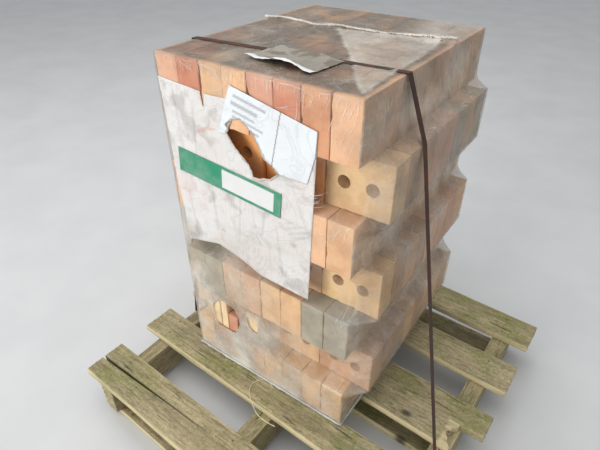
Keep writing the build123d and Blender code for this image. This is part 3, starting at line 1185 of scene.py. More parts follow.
def make_film_seam(material):
    """Gathered ridge where two films were welded, pleated across the top."""
    rng = random.Random(41)
    sides, rings, vertices = 12, 261, []
    start, finish = SEAM[0][0], SEAM[-1][0]
    for number in range(rings):
        x = start + (finish - start) * number / (rings - 1)
        y = seam_y(x) + 1.4 * wave(x, 0, 3, 0.05)
        size = 2.5 + 1.6 * abs(wave(x, 2, 8, 0.03)) + 0.8 * math.sin(x * 0.9 + 2 * wave(x, 1, 0, 0.1))
        for k in range(sides):
            angle = 2 * math.pi * k / sides
            pleat = 1 + 0.3 * math.sin(k * 2.6 + x * 0.7) + rng.uniform(-0.08, 0.08)
            rise = FILM_TOP + 3.4 + bulge(x, y) + size * pleat * math.sin(angle)
            vertices.append(stack_point(x, y + size * pleat * 1.3 * math.cos(angle), rise))
    mesh = mesh_from("film_seam", vertices, tube_faces(rings, sides))
    # The seam's glint is a painted highlight along its ridge.
    paint(mesh, cover=0.95, haze=0.55, grime=0.0, glint=0.3)
    new_piece("film_seam", mesh, material)


def make_film_hem(material):
    """Rolled lower edge of the film, round the foot of the stack."""
    ring = film_ring(6.0, FILM_OUT)
    sides, vertices = 8, []
    for point, out, part in ring:
        roll = 2.4 + 2.0 * abs(wave(point.x, point.y, 0, 0.03))
        height = 7.0 + 3.0 * wave(point.x, point.y, 7, 0.012)
        if part == RIGHT_PART:
            roll += 1.5 + abs(wave(point.x, point.y, 4, 0.06))
            height += 5
        for k in range(sides):
            angle = 2 * math.pi * k / sides
            place = point + out * (roll * 0.6 * (1 + math.cos(angle)) - 0.2)
            vertices.append(stack_point(place.x, place.y, max(height + roll * 1.8 * math.sin(angle), 0.6)))
    mesh = mesh_from("film_hem", vertices, tube_faces(len(ring), sides, closed=True))
    paint(mesh, cover=0.72, haze=0.95, grime=0.0)
    new_piece("film_hem", mesh, material)


def face_point(face, place, height, out):
    """Point on one of the film's faces: across it, up it or deep, and out of it."""
    if face == "top":
        return stack_point(place, height, STACK_HEIGHT + 0.6 + top_lift(place, height) + out)
    reach_x, reach_y = film_reach(height)
    drawn = smooth_step(place, FLAT_FRONT_END, FLAT_FRONT_END + DRAW_IN_RUN)
    front_reach = WIDE + (reach_y - WIDE) * drawn
    part, point, outward = {
        "front": (CORNER_PART if drawn == 1 else FRONT_PART, (place, -front_reach), (0, -1)),
        "right": (RIGHT_PART, (reach_x, place), (1, 0)),
        "back": (BACK_PART, (place, reach_y), (0, 1)),
        "left": (LEFT_PART, (-reach_x, place), (-1, 0)),
    }[face]
    spot = Vector(point) + Vector(outward) * (FILM_SKIN + film_wrinkle(point, height, part) + out)
    return stack_point(spot.x, spot.y, height)


# Painted glints along the film's creases: face, place across and up, spread of each, count, length, angle and its
# spread
GLINT_CLUSTERS = (
    ("front", -150, 852, 92, 14, 34, 36, 98, 18), ("front", 20, 852, 90, 14, 38, 40, 80, 18),
    ("front", 160, 848, 60, 14, 20, 44, 74, 14), ("front", 0, 871, 232, 2, 34, 90, 0, 3),
    ("front", -40, 820, 120, 10, 10, 60, 12, 12),
    ("front", 214, 800, 18, 34, 14, 100, 69, 7),
    ("front", 150, 800, 40, 50, 10, 60, 78, 8), ("front", 236, 700, 8, 30, 12, 50, 66, 10),
    ("front", 234, 730, 10, 10, 8, 44, 15, 12), ("front", 215, 560, 24, 40, 8, 70, 80, 7),
    ("front", 236, 468, 8, 14, 8, 40, 40, 14), ("front", 225, 330, 16, 40, 8, 70, 85, 8),
    ("front", 236, 218, 8, 14, 8, 40, 40, 14), ("front", 120, 655, 30, 22, 20, 46, 30, 12),
    ("front", 90, 560, 60, 60, 8, 80, 20, 14), ("front", -30, 470, 40, 40, 16, 70, 70, 14),
    ("front", -120, 350, 90, 30, 16, 90, 0, 10), ("front", -60, 120, 150, 80, 20, 60, 60, 16),
    ("front", -170, 40, 70, 26, 12, 70, 5, 12), ("front", 60, 24, 130, 14, 16, 70, 5, 10),
    ("front", 180, 60, 50, 40, 18, 70, 25, 10), ("front", 230, 90, 12, 40, 10, 70, 70, 8),
    ("right", 0, 860, 270, 9, 60, 40, 90, 18), ("right", -205, 800, 30, 30, 14, 90, 92, 8),
    ("right", 20, 820, 30, 30, 16, 80, 92, 7), ("right", 150, 820, 90, 34, 40, 70, 90, 10),
    ("right", -100, 800, 100, 50, 16, 80, 88, 10), ("right", 0, 757, 280, 4, 30, 60, 3, 8),
    ("right", -215, 740, 24, 6, 16, 40, 20, 40), ("right", 0, 690, 270, 40, 30, 60, 86, 14),
    ("right", 120, 560, 160, 50, 24, 80, 88, 12), ("right", 0, 505, 280, 4, 24, 60, 3, 8),
    ("right", 60, 440, 220, 40, 20, 60, 88, 14), ("right", 120, 300, 160, 50, 18, 80, 86, 14),
    ("right", 40, 150, 240, 50, 22, 60, 80, 25), ("right", 0, 30, 270, 14, 50, 70, 8, 16),
    ("right", 60, 60, 200, 30, 24, 70, 70, 20),
    ("back", 0, 440, 230, 420, 90, 80, 90, 14), ("back", 0, 860, 230, 10, 70, 44, 90, 14),
    ("left", 0, 440, 270, 420, 90, 80, 90, 14), ("left", 0, 860, 270, 10, 70, 44, 90, 14),
    ("top", 120, 96, 110, 24, 36, 40, 80, 30), ("top", -120, 92, 110, 24, 30, 36, 80, 30),
    ("top", 180, -30, 50, 120, 20, 80, 60, 20), ("top", 200, 200, 40, 80, 16, 70, 60, 30),
)
GLINT_STEP = 6.0
GLINT_OUT = 0.5


def glint_fits(face, place, height):
    """Whether a point lies on a face of the film and outside its tears."""
    if face == "top":
        return abs(place) < NARROW and abs(height) < WIDE
    if not (4 < height < STACK_HEIGHT - 2 and abs(place) < NARROW - 4):
        return False
    return face != "front" or not any(inside((place, height), outline) for outline in TORN_OUTLINES)


def glint_line(face, place, height, heading, run, rng):
    """Points of a painted glint along a crease in metres, with the way across it at each."""
    steps = max(int(run / GLINT_STEP), 3)
    bend = rng.uniform(-0.02, 0.02)
    points = []
    for number in range(steps + 1):
        if not glint_fits(face, place, height):
            break
        here = face_point(face, place, height, GLINT_OUT)
        beside = face_point(face, place + math.sin(heading), height - math.cos(heading), GLINT_OUT)
        points.append((here, (beside - here).normalized() * MM))
        place += math.cos(heading) * run / steps
        height += math.sin(heading) * run / steps
        heading += bend * run / steps + rng.uniform(-0.08, 0.08)
    return points


def make_painted_glints(settings, material):
    """Painted glints where creases are pulled in the film, each a narrow tapered strip on its face."""
    rng = random.Random(17)
    vertices, faces, cover = [], [], []
    for face, across, up, spread, rise, count, length, angle, fan in GLINT_CLUSTERS:
        for number in range(count):
            place = across + rng.uniform(-1, 1) * spread
            height = up + rng.uniform(-1, 1) * rise
            heading = math.radians(angle + rng.gauss(0, 0.5) * fan)
            run = length * rng.uniform(0.35, 1.1)
            width = rng.uniform(0.5, 1.5) * settings.glint_width / MM
            share = rng.uniform(0.2, 0.8)
            points = glint_line(face, place, height, heading, run, rng)
            if len(points) < 3:
                continue
            first = len(vertices)
            for step, (point, side) in enumerate(points):
                taper = width / 2 * math.sin(math.pi * (step + 0.4) / (len(points) - 0.2))
                vertices += [point - side * taper, point + side * taper]
                cover += [share, share]
            for step in range(len(points) - 1):
                a = first + 2 * step
                faces.append((a, a + 1, a + 3, a + 2))
    mesh = mesh_from("film_glints", vertices, faces)
    # The strips are painted highlights: milky, bright and glinting.
    paint(mesh, cover=cover, haze=1.0, grime=0.0, glint=0.8)
    new_piece("film_glints", mesh, material)


def make_torn_lips(material):
    """Curled lips of film round the tears."""
    vertices, faces, cover = [], [], []
    profile = ((0.0, 0.2, 0.9), (0.6, 1.8, 0.8), (2.6, 2.6, 0.7), (4.6, 1.4, 0.5), (6.0, 0.5, 0.25))
    deep = len(profile)
    for outline, strength in zip(TORN_OUTLINES, TORN_RIMS):
        centre = sum((Vector(p) for p in outline), Vector((0, 0))) / len(outline)
        first = len(vertices)
        for x, z in outline:
            away = (Vector((x, z)) - centre).normalized()
            size = 0.7 + 0.5 * abs(wave(x, z, 6, 0.08))
            for shift, lift, share in profile:
                vertices.append(face_point("front", x + away.x * shift * size, z + away.y * shift * size, lift * size))
                cover.append(share * strength)
        for number in range(len(outline)):
            a = first + number * deep
            b = first + (number + 1) % len(outline) * deep
            faces += [(a + k, b + k, b + k + 1, a + k + 1) for k in range(deep - 1)]
    mesh = mesh_from("film_torn_lips", vertices, faces)
    paint(mesh, cover=cover, haze=0.85, grime=0.1)
    new_piece("film_torn_lips", mesh, material)


# Papers

def flat_sheet(name, outline, distance, step, ripple, seed, holes=()):
    """Sheet on the front, cut to an outline and torn at its holes, with soft ripples."""
    xs = [p[0] for p in outline]
    zs = [p[1] for p in outline]
    x0, z0 = min(xs), min(zs)
    columns = int((max(xs) - x0) / step) + 1
    rows = int((max(zs) - z0) / step) + 1
    used, flat, faces = {}, [], []
    for row in range(rows):
        for column in range(columns):
            middle = (x0 + (column + 0.5) * step, z0 + (row + 0.5) * step)
            if not inside(middle, outline) or any(inside(middle, hole) for hole in holes):
                continue
            face = []
            for dc, dr in ((0, 0), (1, 0), (1, 1), (0, 1)):
                key = (column + dc, row + dr)
                if key not in used:
                    used[key] = len(flat)
                    flat.append((x0 + key[0] * step, z0 + key[1] * step))
                face.append(used[key])
            faces.append(tuple(face))
    uses = {}
    for face in faces:
        for a, b in zip(face, face[1:] + face[:1]):
            key = (min(a, b), max(a, b))
            uses[key] = uses.get(key, 0) + 1
    for number in {v for key, times in uses.items() if times == 1 for v in key}:
        found, near = min((nearest_on(flat[number], line) for line in (outline, *holes)), key=lambda f: f[1])
        if near < step * 1.5:
            flat[number] = found
    vertices = []
    for x, z in flat:
        lift = (0.5 + 0.5 * wave(x, z, seed * 9.0, 0.014, 4)) * ripple
        for hole in holes:
            lift += 1.1 * max(1 - nearest_on((x, z), hole)[1] / 7, 0) * (0.6 + 0.4 * wave(x, z, 2, 0.1))
        vertices.append(stack_point(x, -(distance + lift), z))
    return mesh_from(name, vertices, faces), flat


def sheet_print(x, z):
    """Faint grey print of the large sheet: a hatched patch and plain bars."""
    hatch = 0.35 if 62 < x < 132 and 404 < z < 440 and (x + 2 * z) % 9 < 3 else 0.0
    curl = abs(math.hypot(x + 10, (z - 470) * 0.6) % 11 - 5.5) < 1.4
    swirl = 0.4 if -36 < x < 40 and 405 < z < 520 and curl and wave(x, z, 4, 0.03) > -0.1 else 0.0
    block = 0.35 if 88 < x < 138 and 545 < z < 588 and (z - 0.5 * x) % 14 < 6 else 0.0
    return max(hatch, swirl, block)


# Folds of the large sheet, along which shade is painted.
SHEET_FOLDS = (
    ((-205, 800), (-196, 640)), ((-150, 790), (-160, 600)), ((-37, 591), (-52, 470)),
    ((33, 604), (20, 520)), ((87, 670), (132, 674)), ((113, 645), (146, 560)),
    ((-120, 600), (-118, 480)), ((60, 560), (72, 430)), ((-200, 560), (-190, 430)),
)
SHEET_CRACK = ((-150, 722), (-141, 728), (-109, 745), (-87, 739), (-110, 735), (-138, 720))
SMUDGES = ((-206, 560, 16, 34), (-176, 530, 22, 12), (-182, 575, 10, 22), (-150, 540, 10, 26))


def sheet_fold_shade(x, z):
    """Painted shade along the sheet's folds at a point."""
    least = min(nearest_on((x, z), fold)[1] for fold in SHEET_FOLDS)
    return 0.22 * math.exp(-(least / 2.6) ** 2)


def sheet_blush(x, z):
    """Pale red of the sheet's smudges, and of the brick seen through its small crack."""
    strong = 0.0
    for across, up, wide, high in SMUDGES:
        strong = max(strong, 0.26 * math.exp(-((x - across) / wide) ** 2 - ((z - up) / high) ** 2))
    return strong * (0.7 + 0.5 * wave(x, z, 9, 0.06)) + 0.5 * inside((x, z), SHEET_CRACK)


def make_printed_sheet(settings):
    """Large sheet behind the film, torn open over the second layer."""
    material = paper_material(
        settings, "Printed Sheet", settings.paper_color, (0.4, 0.41, 0.43), srgb(214, 200, 192)
    )
    tear = TORN_OUTLINES[0]
    mesh, flat = flat_sheet("printed_sheet_paper", SHEET_OUTLINE, WIDE + SHEET_GAP, 4.0, 0.5, 1, (tear,))
    marks = [sheet_print(x, z) for x, z in flat]
    # Darkening of the sheet's stains and of the shade painted along its folds.
    stain = [0.3 * smooth_step(wave(x, z, 6, 0.02, 4), 0.1, 0.5) + sheet_fold_shade(x, z) for x, z in flat]
    blush = [sheet_blush(x, z) for x, z in flat]
    paint(mesh, print=marks, grime=stain, blush=blush)
    give_thickness(new_piece("printed_sheet_paper", mesh, material, ("printed_sheet",)), 0.3)


def make_white_label(settings):
    """White label on the film, with plain grey rules for its printing."""
    material = paper_material(
        settings, "White Label", settings.label_color, (0.33, 0.33, 0.35), srgb(204, 202, 201)
    )
    mesh, flat = flat_sheet("white_label_paper", LABEL_OUTLINE, WIDE + FILM_OUT + LABEL_GAP, 2.2, 0.5, 2)
    marks, stain = [], []
    for x, z in flat:
        u, v = Matrix.Rotation(-LABEL_SLANT, 2) @ (Vector((x, z)) - Vector(LABEL_CORNER))
        within = max(min(v - low, high - v, u - left, right - u) for high, low, left, right in LABEL_RULES)
        # The fold line and the curled torn edge are darkened as painted shade; the scuff by the torn edge is worn
        # paper.
        fold = abs(x - 57 - (z - 709) * 0.22)
        scuff = max(1 - nearest_on((x, z), LABEL_TEAR)[1] / 6, 0) * smooth_step(wave(x, z, 3, 0.1), -0.1, 0.3)
        marks.append(0.75 * smooth_step(within, -RULE_SOFTNESS / 2, RULE_SOFTNESS / 2))
        curl = 0.95 * (1 - smooth_step(nearest_on((x, z), LABEL_CURL_SHADE)[1], 2.0, 5.0))
        stain.append(max(0.9 if fold < 1.1 else 0.8 * scuff, curl))
    paint(mesh, print=marks, grime=stain)
    give_thickness(new_piece("white_label_paper", mesh, material, ("white_label",)), 0.3)


def make_lot_sticker(settings):
    """Green sticker with a white panel left bare."""
    material = sticker_material(settings)
    columns, rows = 146, 30
    length, height = STICKER_SIZE
    left, right, low, top = STICKER_PANEL
    tilt = Matrix.Rotation(STICKER_TILT, 2)
    vertices, marks = [], []
    for row in range(rows + 1):
        for column in range(columns + 1):
            u = (column / columns - 0.5) * length
            v = (row / rows - 0.5) * height
            x, z = Vector(STICKER_CENTRE) + tilt @ Vector((u, v))
            lift = LABEL_GAP + 0.5 * abs(wave(x, z, 3, 0.03))
            vertices.append(stack_point(x, -(WIDE + FILM_OUT + lift), z))
            marks.append(1.0 if left < u < right and low < v < top else 0.0)
    mesh = mesh_from("lot_sticker_sheet", vertices, grid_faces(columns, rows))
    paint(mesh, print=marks)
    give_thickness(new_piece("lot_sticker_sheet", mesh, material, ("lot_sticker",)), 0.3)


def make_loose_sheet(settings):
    """Curled dusty sheet on the top, its pale front edge turned up."""
    material = paper_material(settings, "Loose Sheet", srgb(152, 146, 134), srgb(226, 228, 226), srgb(112, 102, 88))
    columns, rows = 84, 54
    length, width = LOOSE_SIZE
    turn = Matrix.Rotation(LOOSE_TURN, 2)
    vertices, marks, stain = [], [], []
    for row in range(rows + 1):
        for column in range(columns + 1):
            u = (column / columns - 0.5) * length
            share = row / rows
            v = (share - 0.5) * width
            if row in (0, rows):
                v += 2.5 * abs(wave(u, v, 8, 0.04)) * (1 - 2 * share)
            front = 1 - smooth_step(share, 0.0, 0.24)
            lip = front * (3.0 + 6.0 * smooth_step(u, -40, 20) * (1 - smooth_step(u, 30, 80)))
            rise = max(along(LOOSE_WAVE, u), 0) * (0.55 + 0.3 * front) + abs(wave(u, v, 2, 0.05)) * 1.4
            x, y = Vector(LOOSE_CENTRE) + turn @ Vector((u, v))
            vertices.append(stack_point(x, y, LOOSE_SEAT + min(rise + lip, LOOSE_TOP)))
            marks.append(1 - smooth_step(share + 0.05 * wave(u, v, 5, 0.05), 0.13, 0.2))
            stain.append(0.75 * smooth_step(wave(u, v, 7, 0.03, 4), -0.05, 0.35) * smooth_step(share, 0.15, 0.25))
    mesh = mesh_from("loose_sheet_paper", vertices, grid_faces(columns, rows))
    paint(mesh, print=marks, grime=stain)
    give_thickness(new_piece("loose_sheet_paper", mesh, material, ("loose_sheet",)), 0.5)


# Small things

def lump(bm, centre, size, rng):
    """Small rough stone."""
    made = bmesh.ops.create_icosphere(bm, subdivisions=1, radius=1)["verts"]
    stretch = [rng.uniform(0.6, 1.2) for axis in range(3)]
    turn = Matrix.Rotation(rng.uniform(0, math.tau), 3, "Z")
    for vert in made:
        p = vert.co * (1 + rng.uniform(-0.22, 0.22))
        vert.co = centre + turn @ Vector((p.x * stretch[0], p.y * stretch[1], p.z * stretch[2] * 0.7)) * size * MM


def piece_from_bmesh(bm, name, material):
    """Piece made of a bmesh, which is freed."""
    mesh = bpy.data.meshes.new(name)
    bm.to_mesh(mesh)
    bm.free()
    new_piece(name, mesh, material)


def make_crumbs(settings):
    """Crumbs of brick and bark on the front bottom board, the deck and the seam."""
    rng = random.Random(7)
    material = plain_material("Brick Crumbs", srgb(206, 150, 108), srgb(128, 98, 70), 90.0, 0.95)
    bm = bmesh.new()
    lo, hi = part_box("bottom_board_front")
    for count in range(settings.crumb_count):
        size = rng.uniform(1.0, 4.2) * (1.6 if rng.random() < 0.08 else 1)
        across = lo.x + (0.02 + 0.96 * rng.random() ** 1.6) * (hi.x - lo.x)
        lump(bm, Vector((across, rng.uniform(lo.y + 0.008, hi.y - 0.01), hi.z + size * 0.35 * MM)), size, rng)
    for number in range(1, 6):
        lo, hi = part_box(f"deck_board_{number}")
        for count in range(14):
            across = rng.uniform(lo.x + 0.02, hi.x - 0.09)
            place = Vector((across, rng.uniform(lo.y + 0.012, hi.y - 0.012), hi.z - 0.0003))
            lump(bm, place, rng.uniform(0.7, 1.6), rng)
    for count in range(46):
        x = rng.uniform(-40, 235)
        y = seam_y(x) - rng.uniform(2, 9)
        size = rng.uniform(0.7, 2.3)
        lump(bm, stack_point(x, y, FILM_TOP + top_lift(x, y) + size * 0.3), size, rng)
    piece_from_bmesh(bm, "crumbs", material)


def make_nails(settings):
    """Rusty nail heads, two where a deck board crosses a bearer."""
    rng = random.Random(3)
    material = plain_material("Nail", srgb(74, 54, 44), srgb(118, 90, 70), 200.0, 0.7)
    bm = bmesh.new()
    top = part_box("deck_board_1")[1].z
    for number in range(1, 6):
        lo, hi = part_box(f"deck_board_{number}")
        for side in ("left", "middle", "right"):
            near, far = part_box(f"stringer_{side}")
            for share in (0.25, 0.75):
                spot = Vector((
                    (near.x + far.x) / 2 + rng.uniform(-0.009, 0.009),
                    lo.y + (hi.y - lo.y) * (share + rng.uniform(-0.05, 0.05)), top - 0.0009,
                ))
                head = bmesh.ops.create_cone(
                    bm, cap_ends=True, segments=14, radius1=settings.nail_radius,
                    radius2=settings.nail_radius * 0.72, depth=0.0018,
                )["verts"]
                tilt = Matrix.Rotation(rng.uniform(-0.12, 0.12), 3, "X")
                for vert in head:
                    vert.co = spot + tilt @ vert.co
                    vert.co.z = min(vert.co.z, top + 0.0006)
    piece_from_bmesh(bm, "nails", material)


# Stalks: their board, then places along it and deep from its front edge, in millimetres
STALKS = (
    ("deck_board_2", (
        (-24, 66), (-44, 79), (-67, 73), (-82, 44), (-68, 15), (-35, -7), (8, -28), (56, -20),
    )),
    ("deck_board_3", ((170, 115), (174, 90), (173, 60), (178, 30), (182, 6))),
)


def make_straw(settings):
    """Thin dry stalks that lie on the second and the third board."""
    material = plain_material("Straw", srgb(226, 218, 176), srgb(196, 184, 138), 160.0, 0.8)
    vertices, faces = [], []
    for node, route in STALKS:
        lo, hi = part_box(node)
        curve = bpy.data.curves.new("stalk", "CURVE")
        curve.dimensions = "3D"
        curve.bevel_depth = settings.straw_radius
        curve.bevel_resolution = 2
        spline = curve.splines.new("NURBS")
        spline.points.add(len(route) - 1)
        for number, (x, y) in enumerate(route):
            lift = 1.2 + 1.2 * abs(math.sin(number * 2.1))
            spline.points[number].co = (x * MM, lo.y + y * MM, hi.z + lift * MM, 1)
        spline.order_u = 3
        spline.use_endpoint_u = True
        holder = bpy.data.objects.new("stalk", curve)
        made = bpy.data.meshes.new_from_object(holder)
        first = len(vertices)
        vertices += [v.co.copy() for v in made.vertices]
        faces += [tuple(first + v for v in polygon.vertices) for polygon in made.polygons]
        bpy.data.objects.remove(holder)
    new_piece("straw", mesh_from("straw", vertices, faces), material)


# The settings, operators and panel

class BrickLoadSettings(bpy.types.PropertyGroup):
    """Sizes and colours of the load that a user may change."""

    brick_edge: FloatProperty(
        name="Brick Edge", description="Rounding of a brick's edges", default=0.0018, min=0.0002, unit="LENGTH"
    )
    brick_wear: FloatProperty(
        name="Brick Wear", description="Depth of a brick's uneven faces", default=0.0006, min=0, unit="LENGTH"
    )
    brick_chips: FloatProperty(
        name="Brick Chips", description="Depth of the chips on its edges", default=0.0028, min=0, unit="LENGTH"
    )
    brick_shift: FloatProperty(
        name="Brick Shift", description="Most that a brick stands back", default=0.0016, min=0, unit="LENGTH"
    )
    brick_turn: FloatProperty(
        name="Brick Turn", description="Most that a brick is turned, in degrees", default=0.25, min=0
    )
    timber_grid: FloatProperty(
        name="Timber Grid", description="Spacing of the timber's mesh", default=0.0036, min=0.002, unit="LENGTH"
    )
    timber_wear: FloatProperty(
        name="Timber Wear", description="Depth of worn edges", default=0.0034, min=0, unit="LENGTH"
    )
    film_grid: FloatProperty(
        name="Film Grid", description="Spacing of the film's mesh", default=0.006, min=0.003, unit="LENGTH"
    )
    # Width of a painted glint strip along a crease.
    glint_width: FloatProperty(
        name="Glint Width", description="Width of a bright crease", default=0.0007, min=0.0002, unit="LENGTH"
    )
    nail_radius: FloatProperty(
        name="Nail Radius", description="Radius of a nail's head", default=0.0036, min=0.001, unit="LENGTH"
    )
    straw_radius: FloatProperty(
        name="Straw Radius", description="Radius of a dry stalk", default=0.001, min=0.0002, unit="LENGTH"
    )
    crumb_count: IntProperty(
        name="Crumbs", description="Crumbs on the front bottom board", default=280, min=0
    )
    dust_color: FloatVectorProperty(
        name="Dust", description="Dust on the bricks", subtype="COLOR", default=srgb(214, 186, 156)
    )
    wood_pale: FloatVectorProperty(
        name="Pale Wood", description="Pale grain", subtype="COLOR", default=srgb(190, 175, 136)
    )
    wood_dark: FloatVectorProperty(
        name="Dark Wood", description="Dark grain", subtype="COLOR", default=srgb(116, 104, 74)
    )
    # Pale colour of wood laid bare and of the light painted on the boards' front faces.
    wood_bared_and_lit: FloatVectorProperty(
        name="Fresh Wood", description="Bared edges", subtype="COLOR", default=srgb(214, 198, 154)
    )
    moss_color: FloatVectorProperty(
        name="Moss", description="Growth on the boards", subtype="COLOR", default=srgb(128, 130, 72)
    )
    film_color: FloatVectorProperty(
        name="Film", description="Dusty clear film", subtype="COLOR", default=srgb(224, 195, 164)
    )
    film_milk: FloatVectorProperty(
        name="Milky Film", description="Film where it is milky", subtype="COLOR", default=srgb(220, 217, 208)
    )
    film_dirt: FloatVectorProperty(
        name="Film Dirt", description="Dirt on the film", subtype="COLOR", default=srgb(108, 95, 80)
    )
    # Colour of the painted glints at the film's creases.
    film_glint: FloatVectorProperty(
        name="Film Glint", description="Film at its folds", subtype="COLOR", default=srgb(232, 230, 224)
    )
    paper_color: FloatVectorProperty(
        name="Paper", description="White paper", subtype="COLOR", default=srgb(214, 214, 213)
    )
    label_color: FloatVectorProperty(
        name="Label", description="White label", subtype="COLOR", default=srgb(216, 221, 223)
    )
    sticker_color: FloatVectorProperty(
        name="Sticker", description="Lot sticker", subtype="COLOR", default=srgb(22, 132, 96)
    )
    strap_color: FloatVectorProperty(
        name="Strap", description="Dark strap steel", subtype="COLOR", default=srgb(50, 32, 26)
    )
    rust_color: FloatVectorProperty(
        name="Rust", description="Rust on the strap", subtype="COLOR", default=srgb(106, 62, 42)
    )


class BRICKLOAD_OT_bricks(bpy.types.Operator):
    """Make the seven layers of bricks"""

    bl_idname = "brick_load.bricks"
    bl_label = "Bricks"

    def execute(self, context):
        settings = context.scene.brick_load
        material = brick_material(settings)
        form = brick_form(settings.brick_edge / MM)
        for number in range(1, LAYER_COUNT + 1):
            make_brick_layer(number, settings, material, form)
        make_brick_bits(material)
        return {"FINISHED"}


class BRICKLOAD_OT_timber(bpy.types.Operator):
    """Make the deck boards, the bearers and the bottom boards"""

    bl_idname = "brick_load.timber"
    bl_label = "Timber"

    def execute(self, context):
        settings = context.scene.brick_load
        boards = wood_material(settings, "Deck Timber", (1.0, 16.0, 16.0), 0.85)
        bearers = wood_material(settings, "Bearer Timber", (16.0, 1.0, 16.0), 0.5)
        for number in range(1, 6):
            make_timber(f"deck_board_{number}", settings, boards, number, f"board_{number}")
        for number, side in enumerate(("front", "middle", "back")):
            make_timber(f"bottom_board_{side}", settings, boards, 20 + number, f"bottom_{side}")
        for number, side in enumerate(("left", "middle", "right")):
            make_timber(f"stringer_{side}", settings, bearers, 30 + number, f"bearer_{side}")
        return {"FINISHED"}


class BRICKLOAD_OT_film(bpy.types.Operator):
    """Make the shrink film with its seam, hem, painted glints and torn lips"""

    bl_idname = "brick_load.film"
    bl_label = "Shrink Film"

    def execute(self, context):
        settings = context.scene.brick_load
        material = film_material(settings)
        make_film_sides(settings, material)
        make_film_top(settings, material)
        make_film_seam(material)
        make_film_hem(material)
        make_painted_glints(settings, material)
        make_torn_lips(material)
        return {"FINISHED"}


class BRICKLOAD_OT_papers(bpy.types.Operator):
    """Make the printed sheet, the label, the lot sticker and the loose sheet"""

    bl_idname = "brick_load.papers"
    bl_label = "Papers"

    def execute(self, context):
        settings = context.scene.brick_load
        make_printed_sheet(settings)
        make_white_label(settings)
        make_lot_sticker(settings)
        make_loose_sheet(settings)
        return {"FINISHED"}


class BRICKLOAD_OT_strap(bpy.types.Operator):
    """Rust the strap and its seal"""

    bl_idname = "brick_load.strap"
    bl_label = "Strap"

    def execute(self, context):
        material = rust_material(context.scene.brick_load)
        for node in ("steel_strap", "strap_seal"):
            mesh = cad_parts[node].data
            mesh.materials.clear()
            mesh.materials.append(material)
        return {"FINISHED"}


class BRICKLOAD_OT_small_things(bpy.types.Operator):
    """Make the nails, the crumbs and the straw"""

    bl_idname = "brick_load.small_things"
    bl_label = "Nails and Crumbs"

    def execute(self, context):
        settings = context.scene.brick_load
        make_nails(settings)
        make_crumbs(settings)
        make_straw(settings)
        return {"FINISHED"}


class BRICKLOAD_OT_stage(bpy.types.Operator):
    """Make the floor, the lights and the camera"""

    bl_idname = "brick_load.stage"
    bl_label = "Stage"

    def execute(self, context):
        make_floor()
        make_lights(context.scene)
        make_camera(context.scene)
        context.scene.view_settings.view_transform = "Standard"
        return {"FINISHED"}


def make_floor():
    """Pale level floor."""
    reach = 12.0
    corners = [(-reach, -reach, 0), (reach, -reach, 0), (reach, reach, 0), (-reach, reach, 0)]
    mesh = mesh_from("floor", corners, [(0, 1, 2, 3)])
    floor = bpy.data.objects.new("floor", mesh)
    bpy.context.scene.collection.objects.link(floor)
    material, tree, shader = new_material("Floor", 0.85)
    patches = ramp(tree, texture(tree, 3.0, 3.0), 0.3, 0.7)
    feed(tree, shader, Base_Color=blend(tree, patches, (0.6, 0.6, 0.6), (0.64, 0.64, 0.635)))
    mesh.materials.append(material)


def add_area(name, place, aim, size, power):
    """Square soft light aimed at a point."""
    light = bpy.data.lights.new(name, "AREA")
    light.shape = "SQUARE"
    light.size = size
    light.energy = power
    lamp = bpy.data.objects.new(name, light)
    lamp.location = place
    lamp.rotation_euler = (Vector(aim) - Vector(place)).to_track_quat("-Z", "Y").to_euler()
    bpy.context.scene.collection.objects.link(lamp)


def make_lights(scene):
    """Soft light: one from above, a key from the front left and a pale sky."""
    add_area("sky_light", (-0.6, -0.4, 4.2), (0, 0, 0.4), 4.0, 108)
    add_area("key_light", (-1.3, -6.3, 1.8), (0, 0, 0.4), 3.4, 280)
    world = bpy.data.worlds.new("Pale Sky")
    scene.world = world
    world.use_nodes = True
    back = world.node_tree.nodes["Background"]
    back.inputs["Color"].default_value = (0.9, 0.93, 0.96, 1)
    back.inputs["Strength"].default_value = 0.56


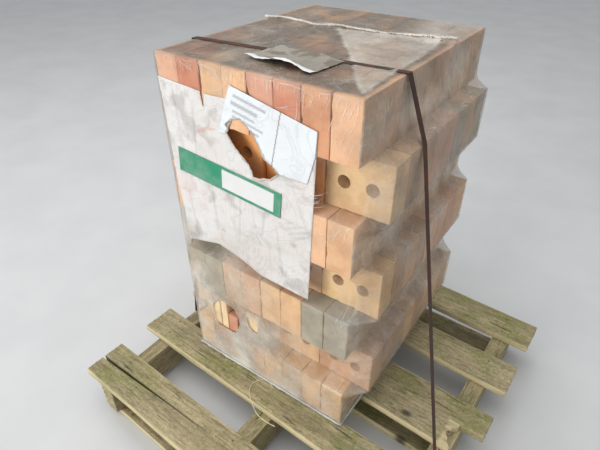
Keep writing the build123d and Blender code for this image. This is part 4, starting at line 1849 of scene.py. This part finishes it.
def make_camera(scene):
    """Camera at the photograph's place and angle."""
    data = bpy.data.cameras.new("photo_camera")
    data.sensor_width = SENSOR
    data.lens = FOCAL_PIXELS * SENSOR / PHOTO_WIDTH
    data.clip_end = 60
    camera = bpy.data.objects.new("photo_camera", data)
    corner_x, corner_y, height = CAMERA_FROM_CORNER
    camera.location = stack_point(
        corner_x + SIDE_COUNT * SIDE_PITCH / 2, corner_y - END_COUNT * END_PITCH / 2, height
    )
    azimuth = CAMERA_AZIMUTH + STACK_TURN
    back = Vector((
        math.sin(azimuth) * math.cos(CAMERA_ELEVATION), -math.cos(azimuth) * math.cos(CAMERA_ELEVATION),
        math.sin(CAMERA_ELEVATION),
    ))
    right = Vector((math.cos(azimuth), math.sin(azimuth), 0))
    up = back.cross(right)
    turned = Matrix((right, up, back)).transposed() @ Matrix.Rotation(-CAMERA_ROLL, 3, "Z")
    camera.rotation_mode = "QUATERNION"
    camera.rotation_quaternion = turned.to_quaternion()
    scene.collection.objects.link(camera)
    scene.camera = camera


class BRICKLOAD_PT_panel(bpy.types.Panel):
    """Lists the steps that dress the load"""

    bl_idname = "BRICKLOAD_PT_panel"
    bl_label = "Brick Load"
    bl_space_type = "VIEW_3D"
    bl_region_type = "UI"
    bl_category = "Brick Load"

    def draw(self, context):
        for operator in OPERATORS:
            self.layout.operator(operator.bl_idname)
        for name in BrickLoadSettings.__annotations__:
            self.layout.prop(context.scene.brick_load, name)


OPERATORS = (
    BRICKLOAD_OT_stage, BRICKLOAD_OT_bricks, BRICKLOAD_OT_timber, BRICKLOAD_OT_film,
    BRICKLOAD_OT_papers, BRICKLOAD_OT_strap, BRICKLOAD_OT_small_things,
)
CLASSES = (BrickLoadSettings, *OPERATORS, BRICKLOAD_PT_panel)


def register():
    """Registers the classes and the scene's settings."""
    for found in CLASSES:
        bpy.utils.register_class(found)
    bpy.types.Scene.brick_load = PointerProperty(type=BrickLoadSettings)


def unregister():
    """Takes the settings and the classes away again."""
    del bpy.types.Scene.brick_load
    for found in reversed(CLASSES):
        bpy.utils.unregister_class(found)


def main():
    """Dresses the load in order."""
    register()
    for build_group in (build_dust_group, build_clay_group, build_grain_group, build_crinkle_group):
        build_group()
    bpy.ops.brick_load.stage()
    bpy.ops.brick_load.bricks()
    bpy.ops.brick_load.timber()
    bpy.ops.brick_load.film()
    bpy.ops.brick_load.papers()
    bpy.ops.brick_load.strap()
    bpy.ops.brick_load.small_things()


if __name__ == "__main__":
    main()
